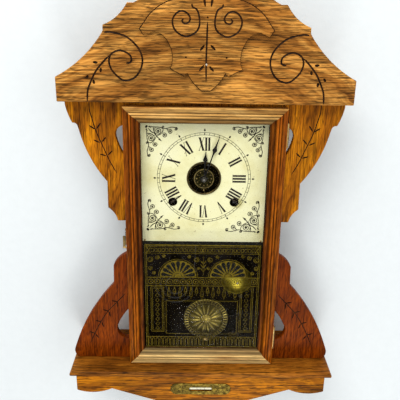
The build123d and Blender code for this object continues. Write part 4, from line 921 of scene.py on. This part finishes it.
def addDialPrint():
    look = dialPrint
    planeY = dialY - look["lift"]
    centre = Vector((0, dialZ / mm))
    ink = bmesh.new()
    for hour, text in enumerate(look["numerals"]):
        addNumeral(ink, text, hour, planeY)
    newPiece("dialNumerals", ink, "dialInk", "root", "hand_black")
    track = bmesh.new()
    inner, outer = look["track"]
    for radius in (inner, outer):
        addRibbon(track, circle(centre, radius, 120), look["trackLine"], planeY, taper=False, closed=True)
    ahead, aside, behind = look["diamondSize"]
    for minute in range(60):
        angle = math.tau * minute / 60
        towards = Vector((math.sin(angle), math.cos(angle)))
        across = Vector((towards.y, -towards.x))
        wide = look["ticks"][0 if minute % 5 == 0 else 1]
        addRibbon(track, [centre + towards * inner, centre + towards * outer], wide, planeY, taper=False)
        if minute % 5 == 0:
            spot = centre + towards * look["diamond"]
            tip, tail, side = spot + towards * ahead, spot - towards * behind, across * aside
            addShape(track, [tip, spot + side, tail, spot - side], planeY)
    newPiece("minuteTrack", track, "cornerInk", "root", "hand_black")


# A filigree corner, in shares of the length of its legs
cornerPrint = {
    "vine": [(0.02, 0.06), (0.02, 0.22), (0.03, 0.40), (0.07, 0.53), (0.05, 0.66), (0.02, 0.78),
             (0.05, 0.90), (0.10, 0.86)],
    "rings": [((0.14, 0.35), 0.120, 2.0, 200, 1), ((0.27, 0.545), 0.080, 1.6, 250, -1),
              ((0.16, 0.71), 0.075, 1.5, 230, -1), ((0.06, 0.89), 0.055, 1.1, 300, 1),
              ((0.03, 0.50), 0.040, 1.2, 80, 1)],
    "twigs": [[(0.05, 0.50), (0.14, 0.50), (0.24, 0.42), (0.30, 0.30)], [(0.08, 0.60), (0.10, 0.65),
                                                                         (0.15, 0.64)], [(0.03, 0.24),
                                                                                         (0.08, 0.22),
                                                                                         (0.16, 0.24),
                                                                                         (0.27, 0.30)]],
    "places": [(-93, -281, 1, 1, 58), (93.5, -284, -1, 1, 60), (-92.5, -105, 1, -1, 53),
               (93.5, -103.5, -1, -1, 53)],
    "berries": [((0.02, 0.0), 0.032), ((0.10, 0.01), 0.022), ((0.03, 0.13), 0.018)],
    "finial": [(0.06, 0.06), (0.16, 0.17), (0.24, 0.21), (0.32, 0.31), (0.40, 0.39)],
    "leaf": [(0.47, 0.46), (0.36, 0.40), (0.38, 0.38), (0.40, 0.36)],
    "line": 1.19,
}


def addCorner(mesh, x, z, signX, signZ, leg, planeY):
    look = cornerPrint

    def onDial(points, swap=False):
        turned = [(b, a) if swap else (a, b) for a, b in points]
        return [(x + signX * leg * a, z + signZ * leg * b) for a, b in turned]

    for swap in (False, True):
        addRibbon(mesh, onDial(smoothed(look["vine"], 5), swap), look["line"], planeY)
        for centre, radius, turns, start, spin in look["rings"]:
            curl = spiral(centre, radius, turns, start, spin, 0.2)
            addRibbon(mesh, onDial(curl, swap), look["line"], planeY - layer)
            addShape(mesh, onDial(circle(centre, radius * 0.24, 8), swap), planeY)
        for twig in look["twigs"]:
            addRibbon(mesh, onDial(smoothed(twig, 5), swap), look["line"], planeY)
        for spot, reach in look["berries"]:
            addShape(mesh, onDial(circle(spot, reach, 7), swap), planeY - 2 * layer)
    addRibbon(mesh, onDial(smoothed(look["finial"], 5)), look["line"] * 1.3, planeY)
    addShape(mesh, onDial(look["leaf"]), planeY - 3 * layer)


def addCorners():
    mesh = bmesh.new()
    for place in cornerPrint["places"]:
        addCorner(mesh, *place, dialY - dialPrint["lift"])
    newPiece("dialCorners", mesh, "cornerInk", "root", "hand_black")


addDialPrint()
addCorners()
print("dial printed")


# Stencil on the back of the glass, in mm
stencil = {
    "half": 97.0,
    "line": 0.9,
    "pair": 2.6,
    "black": (-295.0, -300.6),
    "lines": [(-302.4, 2.0), (-305.6, 0.7), (-317.6, 0.7), (-362.6, 1.3), (-378.4, 1.3), (-480.6, 1.2),
              (-500.4, 1.6), (-509.6, 2.2)],
    "sides": (-302, -509),
    "ladder": {"top": -307.2, "foot": -316.0, "count": 31, "reach": 93.5},
    "fans": [(-41.3, -361.5), (44.0, -361.5)],
    "fan": {"reach": 31.0, "rim": 33.4, "eye": 6.6, "petals": 9},
    "petal": [(9.5, 0.35), (18, 0.72), (25, 1.0), (27.8, 0.75), (29.2, 0.3)],
    "scrolls": [(90, -329, 5.5), (78, -325, 4.2), (12, -329, 5.0), (90, -345, 4.0), (84, -354, 3.2),
                (67, -322.5, 3.0), (24, -323.5, 3.2), (8.5, -345, 2.6)],
    "stalk": {"x": 1.5, "bends": (-359, -345, -322), "leaves": (-352, -345, -338)},
    "ringRow": {"count": 17, "pitch": 11, "z": -370.5},
    "drops": {"count": 13, "reach": 57, "top": -380.5, "lengths": (20, 13)},
    "panel": {"x": 77, "half": 11, "top": -381, "foot": -470, "count": 9, "pitch": 9.4},
    "middlePanel": ((-62, -474), (62, -408)),
    "slots": {"count": 29, "reach": 91, "foot": -498},
    "slot": [(-2.1, 0), (-2.1, 12), (-1.3, 14.6), (0, 15.6), (1.3, 14.6), (2.1, 12), (2.1, 0)],
}


def addFan(gold, black, centre, planeY):
    fan, outline = stencil["fan"], stencil["petal"]
    addShape(gold, circle(centre, fan["reach"], 40, 0, 180), planeY)
    addRibbon(gold, circle(centre, fan["rim"], 40, 0, 180), 0.7, planeY, taper=False)
    addRibbon(black, circle(centre, fan["eye"], 16, 0, 180), 0.9, planeY - 4 * layer, taper=False)
    half = math.radians(180 / fan["petals"]) * 0.40
    for number in range(fan["petals"]):
        angle = math.radians(180 * (number + 0.5) / fan["petals"])
        petal = [polar(centre, reach, angle + half * share) for reach, share in outline]
        petal += [polar(centre, reach, angle - half * share) for reach, share in reversed(outline)]
        addShape(black, petal, planeY - 4 * layer)


def addScrolls(mesh, planeY):
    line, stalk = stencil["line"], stencil["stalk"]
    for side in (-1, 1):
        for x, z, radius in stencil["scrolls"]:
            addRibbon(mesh, spiral((side * x + 1.3, z), radius, 1.7, 90, side, 0.25), line, planeY)
    x = stalk["x"]
    addRibbon(mesh, [(x, z) for z in stalk["bends"]], line * 1.3, planeY)
    for z in stalk["leaves"]:
        for side in (-1, 1):
            leaf = [(x, z), (x + side * 3.5, z + 4.5), (x + side * 5.2, z + 8), (x + side * 1.6, z + 4.5)]
            addShape(mesh, leaf, planeY)


def addStencil():
    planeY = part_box("door_glass")[1].y + 0.0001
    half, line, pair = stencil["half"], stencil["line"], stencil["pair"]
    band = bmesh.new()
    mesh = bmesh.new()

    def stroke(points, width, closed=False, lift=0):
        addRibbon(mesh, points, width, planeY - lift * layer, taper=False, closed=closed)

    def berry(x, z, radius=0.9):
        addShape(mesh, circle((x, z), radius, 6), planeY)

    for z, width in stencil["lines"]:
        stroke([(-half, z), (half, z)], width)
    top, foot = stencil["sides"]
    for x in (half, half - pair):
        for side in (-1, 1):
            stroke([(side * x, top), (side * x, foot)], line, lift=1)
    ladder = stencil["ladder"]
    top, foot, count = ladder["top"], ladder["foot"], ladder["count"]
    for number in range(count):
        x = -ladder["reach"] + 2 * ladder["reach"] / count * (number + 0.5)
        if number in (0, count // 2, count - 1):
            stroke([(x - pair, top), (x + pair, foot)], 1.3)
            stroke([(x + pair, top), (x - pair, foot)], 1.3, lift=1)
        else:
            addBox(mesh, (x - 2.0, foot + 1.6), (x + 2.0, top - 1.6), 0.7, planeY)
    for centre in stencil["fans"]:
        addFan(mesh, band, centre, planeY - 2 * layer)
    addScrolls(mesh, planeY - 3 * layer)
    row = stencil["ringRow"]
    for number in range(row["count"]):
        x, z = row["pitch"] * (number - row["count"] // 2), row["z"]
        stroke(circle((x, z), 4.4, 18), 1.1, closed=True)
        addShape(mesh, lozenge(x, z, 1.7, 2.1), planeY)
        for rise in (4.5, -4.5):
            berry(x + row["pitch"] / 2, z + rise, 0.8)
    drops = stencil["drops"]
    for number in range(drops["count"]):
        x = -drops["reach"] + 2 * drops["reach"] * number / (drops["count"] - 1)
        length = drops["lengths"][number % 2]
        drop = []
        for step in range(16):
            angle = math.tau * step / 16
            swell = 3.4 * math.sin(angle) * (0.55 - 0.45 * math.cos(angle))
            drop.append((x + swell, drops["top"] - length * (0.5 - 0.5 * math.cos(angle))))
        stroke(drop, line, closed=True)
        berry(x, drops["top"] - length * 0.72)
        berry(x, drops["top"] - 3.0 - length)
    panel = stencil["panel"]
    for side in (-1, 1):
        for grow in (0, pair):
            inner, outer = panel["x"] - panel["half"] + grow, panel["x"] + panel["half"] - grow
            low, high = (side * inner, panel["foot"] + grow), (side * outer, panel["top"] - grow)
            addBox(mesh, low, high, 0.8, planeY)
        for number in range(panel["count"]):
            z = panel["top"] - 7 - panel["pitch"] * number
            stroke(lozenge(side * panel["x"], z, 3.4, 3.6), 0.8, closed=True)
    addBox(mesh, *stencil["middlePanel"], 0.8, planeY)
    slots = stencil["slots"]
    for number in range(slots["count"]):
        x = -slots["reach"] + 2 * slots["reach"] * number / (slots["count"] - 1)
        stroke([(x + across, slots["foot"] + up) for across, up in stencil["slot"]], 0.9)
    newPiece("glassStencil", mesh, "stencilGold", "door", "brass")
    top, foot = stencil["black"]
    addShape(band, [(-100, top), (100, top), (100, foot), (-100, foot)], planeY + 5 * layer)
    newPiece("glassBand", band, "stencilBlack", "door", "hand_black")


addStencil()
print("glass stencilled")

# A turned head on a face: an outline of radius and rise in mm, along the direction that it faces
def addHead(mesh, place, facing, outline, sides=16, slotTurn=None):
    facing = Vector(facing).normalized()
    turn = facing.to_track_quat("Z", "Y").to_matrix()
    rows = []
    for radius, rise in outline:
        row = []
        for step in range(sides):
            angle = math.tau * step / sides
            local = Vector((radius * math.cos(angle), radius * math.sin(angle), rise)) * mm
            row.append(mesh.verts.new(Vector(place) * mm + turn @ local))
        rows.append(row)
    bridgeRows(mesh, rows, smooth=True)
    mesh.faces.new(rows[-1])
    mesh.faces.new(rows[0][::-1])
    if slotTurn is None:
        return
    radius, rise = outline[-1]
    along = turn @ Vector((math.cos(slotTurn), math.sin(slotTurn), 0))
    across = turn @ Vector((-math.sin(slotTurn), math.cos(slotTurn), 0))
    middle = Vector(place) * mm + facing * (rise + 0.03) * mm
    corners = []
    for a, b in ((1, 1), (-1, 1), (-1, -1), (1, -1)):
        corners.append(mesh.verts.new(middle + (along * a * radius * 0.96 + across * b * 0.32) * mm))
    face = mesh.faces.new(corners)
    face.normal_update()
    if face.normal.dot(facing) < 0:
        face.normal_flip()
    face.material_index = 1


# Slotted screws: radius and rise of the head in mm, slot and finish
screwLooks = {
    "levelScrews": (2.3, 0.6, "brass", "levelBrass"),
    "hangerScrews": (2.6, 0.6, "steel", "dullSteel"),
    "hingeScrews": (2.0, 0.5, "brass", "agedBrass"),
    "movementScrews": (3.0, 1.0, "steel", "dullSteel"),
}
# Nails: outline of the head, its sides, slot and finish
nailLooks = {
    "dialNails": ([(1.7, 0), (1.6, 0.5), (1.1, 0.9), (0.4, 1.05)], 12, "brass", "agedBrass"),
    "shieldNail": ([(1.5, 0), (1.4, 0.3), (0.9, 0.5)], 12, "steel", "paleNail"),
    "backNails": ([(2.0, -0.3), (1.9, 0.02), (1.2, 0.04)], 10, "iron", "blackIron"),
}


def spread(across, y, heights):
    return [(x, y, z) for x in across for z in heights]


def addScrews(name, places):
    radius, rise, slot, finish = screwLooks[name]
    outline = [(radius, 0), (radius, rise * 0.35), (radius * 0.86, rise * 0.8), (radius * 0.6, rise)]
    mesh = bmesh.new()
    rng = random.Random(name)
    for place in places:
        addHead(mesh, place, (0, -1, 0), outline, 16, rng.uniform(0, math.pi))
    newPiece(name, mesh, finish + " slotShadow", "root", slot)


def addNails(name, places, facing=(0, -1, 0)):
    outline, sides, slot, finish = nailLooks[name]
    mesh = bmesh.new()
    for place in places:
        addHead(mesh, place, facing, outline, sides)
    newPiece(name, mesh, finish, "root", slot)


def addFasteners():
    front = boxMm("level_plate")[0].y
    addScrews("levelScrews", spread((-46.5, 46.5), front, [middleOf("level_plate")[1]]))
    low, high = boxMm("dial_plate")
    addNails("dialNails", spread((low.x + 3.5, high.x - 3.5), low.y, (low.z + 4, high.z - 4)))
    addNails("shieldNail", [(0, overlayY / mm, -6)])
    addScrews("hangerScrews", spread([0], boxMm("hanger_plate")[0].y, (-22, 22)))
    low = boxMm("hinge_leaves_case")[0]
    addScrews("hingeScrews", spread([low.x + 4.5], low.y, (-126, -104, -491, -469)))
    addScrews("movementScrews", spread((-58, 58), boxMm("movement_front_plate")[1].y - 1.6, (-138, -240)))
    back = boxMm("backboard")[1].y - 0.05
    edges = spread((-114, 114), back, range(-85, -518, -108))
    addNails("backNails", edges + spread((-80, 0, 80), back, (-80, -520)), (0, 1, 0))


# The level's engraving: curls as place, radius and turns, then edge lines, end arcs and window, in mm
levelLook = {
    "curls": ((30, 4.0, 1.6), (38.5, 3.2, 1.4)),
    "curlRise": 4.6,
    "edge": (24, 44, 8.6),
    "end": (42.0, 9.4),
    "window": (21, 6.4),
    "marks": (6.5, 0.9),
}


def addLevel():
    look = levelLook
    middle = middleOf("level_plate")[1]
    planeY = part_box("level_plate")[0].y - 0.00012
    inner, outer, edge = look["edge"]
    end, bow = look["end"]
    mesh = bmesh.new()
    for side in (-1, 1):
        for up in (-1, 1):
            for x, radius, turns in look["curls"]:
                place = (side * x, middle + up * look["curlRise"])
                addRibbon(mesh, spiral(place, radius, turns, 90 * up, side * up, 0.2), 0.7, planeY)
            z = middle + up * edge
            addRibbon(mesh, [(side * inner, z), (side * outer, z)], 0.6, planeY - layer)
        addRibbon(mesh, circle((side * end, middle), bow, 14, 90 if side < 0 else -90, 180), 0.6, planeY)
    addRibbon(mesh, circle((0, middle), 1.0, 8), 0.3, planeY, closed=True)
    half, rise = look["window"]
    for side in (-1, 1):
        addRibbon(mesh, [(-half, middle + side * rise), (half, middle + side * rise)], 0.6, planeY)
    newPiece("levelEngraving", mesh, "slotShadow", "root", "brass")
    low, high = boxMm("level_vial")
    x, inset = look["marks"]
    mesh = bmesh.new()
    for side in (-1, 1):
        line = [(side * x, low.z + inset), (side * x, high.z - inset)]
        addRibbon(mesh, line, 0.5, low.y * mm - 5 * layer, taper=False)
    newPiece("levelMarks", mesh, "slotShadow", "root", "hand_black")


# The hands: body, angle, hub, and half widths along the length, in degrees and mm
handLooks = {
    "hour_hand": {"name": "hourHand", "body": "hour", "angle": 3.0, "hub": 6.2, "hole": 3.3,
                  "shape": [(5, 1.4), (16, 1.1), (24, 1.1), (29, 2.4), (32, 3.8), (36, 2.2), (40, 1.2),
                            (46, 0.3)]},
    "minute_hand": {"name": "minuteHand", "body": "minute", "angle": 18.5, "hub": 5.0, "hole": 2.0,
                    "shape": [(4, 1.3), (20, 1.2), (42, 1.1), (48, 2.4), (51, 3.7), (56, 2.0), (62, 1.2),
                              (76, 0.3)]},
}


# A hand is pressed with a ridge along its middle and a lozenge near the tip
def addHand(node, look):
    front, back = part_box(node)[0].y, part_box(node)[1].y
    angle = math.radians(look["angle"])
    mesh = bmesh.new()

    def corner(across, along, depth, turn=angle):
        x = across * math.cos(turn) + along * math.sin(turn)
        z = -across * math.sin(turn) + along * math.cos(turn)
        return mesh.verts.new((x * mm, depth, z * mm + dialZ))

    rows = []
    edge = front + 0.00035
    for along, half in smoothed(look["shape"], 4):
        half = max(half, 0.2)
        section = ((0, front), (half, edge), (half, back), (-half, back), (-half, edge))
        rows.append([corner(across, along, depth) for across, depth in section])
    bridgeRows(mesh, rows)
    mesh.faces.new(rows[0])
    mesh.faces.new(rows[-1][::-1])
    hub, hole = look["hub"], look["hole"]
    section = ((hole, back), (hole, front), (hub - 0.9, front), (hub, front + 0.0003), (hub, back))
    rows = []
    for step in range(32):
        rows.append([corner(0, radius, depth, math.tau * step / 32) for radius, depth in section])
    bridgeRows(mesh, [*rows, rows[0]])
    bmesh.ops.recalc_face_normals(mesh, faces=mesh.faces)
    newPiece(look["name"], mesh, "handBlack", look["body"], "hand_black", node)


# Alarm disc with a rolled rim, which stays bright while painted shade darkens its deeper face, and raised
# hour marks, in mm
alarmLook = {"radius": 17.0, "rim": 1.6, "hub": 6.0, "hole": 3.6, "front": 0.4, "back": 1.4,
             "marks": 12, "markFrom": 10.8, "markTo": 13.0, "ring": 15.6, "pointer": 19.6}


def alarmDepth(radius, angle):
    hub, face, rim = alarmLook["hub"], alarmLook["radius"] - alarmLook["rim"], alarmLook["rim"]
    if radius > face:
        return 0.42 - 0.40 * math.sin(math.pi * (radius - face) / rim)
    if radius < hub:
        return 0.0
    return 0.55 + 0.30 * math.sin(math.pi * (radius - hub) / (face - hub))


def addAlarmDisc():
    look = alarmLook
    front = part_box("alarm_disc")[0].y
    centre = Vector((0, dialZ / mm))
    mesh = bmesh.new()

    def pressed(radius, angle):
        return front + (look["front"] + alarmDepth(radius, angle)) * mm

    radii = steppedRadii(look["hole"], look["radius"], 24)
    rows = [addRing(mesh, centre, radius, 96, pressed) for radius in radii]
    back = front + look["back"] * mm
    rows += [sunkRing(mesh, rows[-1], back), sunkRing(mesh, rows[0], back), rows[0]]
    bridgeRows(mesh, rows, smooth=True, inwards=True)
    bmesh.ops.recalc_face_normals(mesh, faces=mesh.faces)
    newPiece("alarmDial", mesh, "alarmBrass", "alarm_disc", "brass", "alarm_disc")
    marks = bmesh.new()
    addRibbon(marks, circle(centre, look["ring"], 60), 0.9, front + 0.00035, taper=False, closed=True)
    addShape(marks, circle((0, centre.y - look["pointer"]), 1.3, 10), front + 0.0011)
    for number in range(look["marks"]):
        angle = math.tau * number / look["marks"]
        towards = Vector((math.sin(angle), math.cos(angle)))
        line = [centre + towards * look["markFrom"], centre + towards * look["markTo"]]
        addRibbon(marks, line, 1.1 if number % 3 else 1.7, front + 0.0011, taper=False)
    newPiece("alarmMarks", marks, "darkBrass", "alarm_disc", "brass")


# Dark strips of painted shade in the grooves between the bob's reeds and along its two plain rings
def addBobGrooves():
    look = bobLook
    middle = Vector(middleOf("bob"))
    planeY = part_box("bob")[0].y + 0.0008
    grooves = bmesh.new()
    for number in range(look["reeds"]):
        angle = math.tau * (number + 0.5) / look["reeds"]
        towards = Vector((math.sin(angle), math.cos(angle)))
        line = [middle + towards * look["reedFrom"], middle + towards * look["reedTo"]]
        addRibbon(grooves, line, 2.1, planeY, taper=False)
    for radius, width in look["rings"]:
        addRibbon(grooves, circle(middle, radius, 72), width, planeY - 0.0001, taper=False, closed=True)
    newPiece("bobGrooves", grooves, "slotShadow", "bob", "brass")


dirtAndShadeLook = {"grow": 0.0017, "front": 0.0003, "back": 0.0002}  # a dark line of painted shade and dirt round the overlay, in metres


def addShieldDirtAndShade():
    mesh = mergedCopy("crown_overlay")
    low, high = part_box("crown_overlay")
    middle = (low.z + high.z) / 2
    grow = dirtAndShadeLook["grow"]
    for vert in mesh.verts:
        ahead = vert.co.y < (low.y + high.y) / 2
        vert.co.x *= 1 + grow / high.x
        vert.co.z = middle + (vert.co.z - middle) * (1 + 2 * grow / (high.z - low.z))
        vert.co.y = crownY - dirtAndShadeLook["front"] if ahead else crownY + dirtAndShadeLook["back"]
    newPiece("shieldDirtAndShade", mesh, "carvedGroove", "root", "oak_crown")


addFasteners()
addLevel()
for node, look in handLooks.items():
    addHand(node, look)
addAlarmDisc()
addShieldDirtAndShade()
addBobGrooves()
print("fittings, hands and level added")
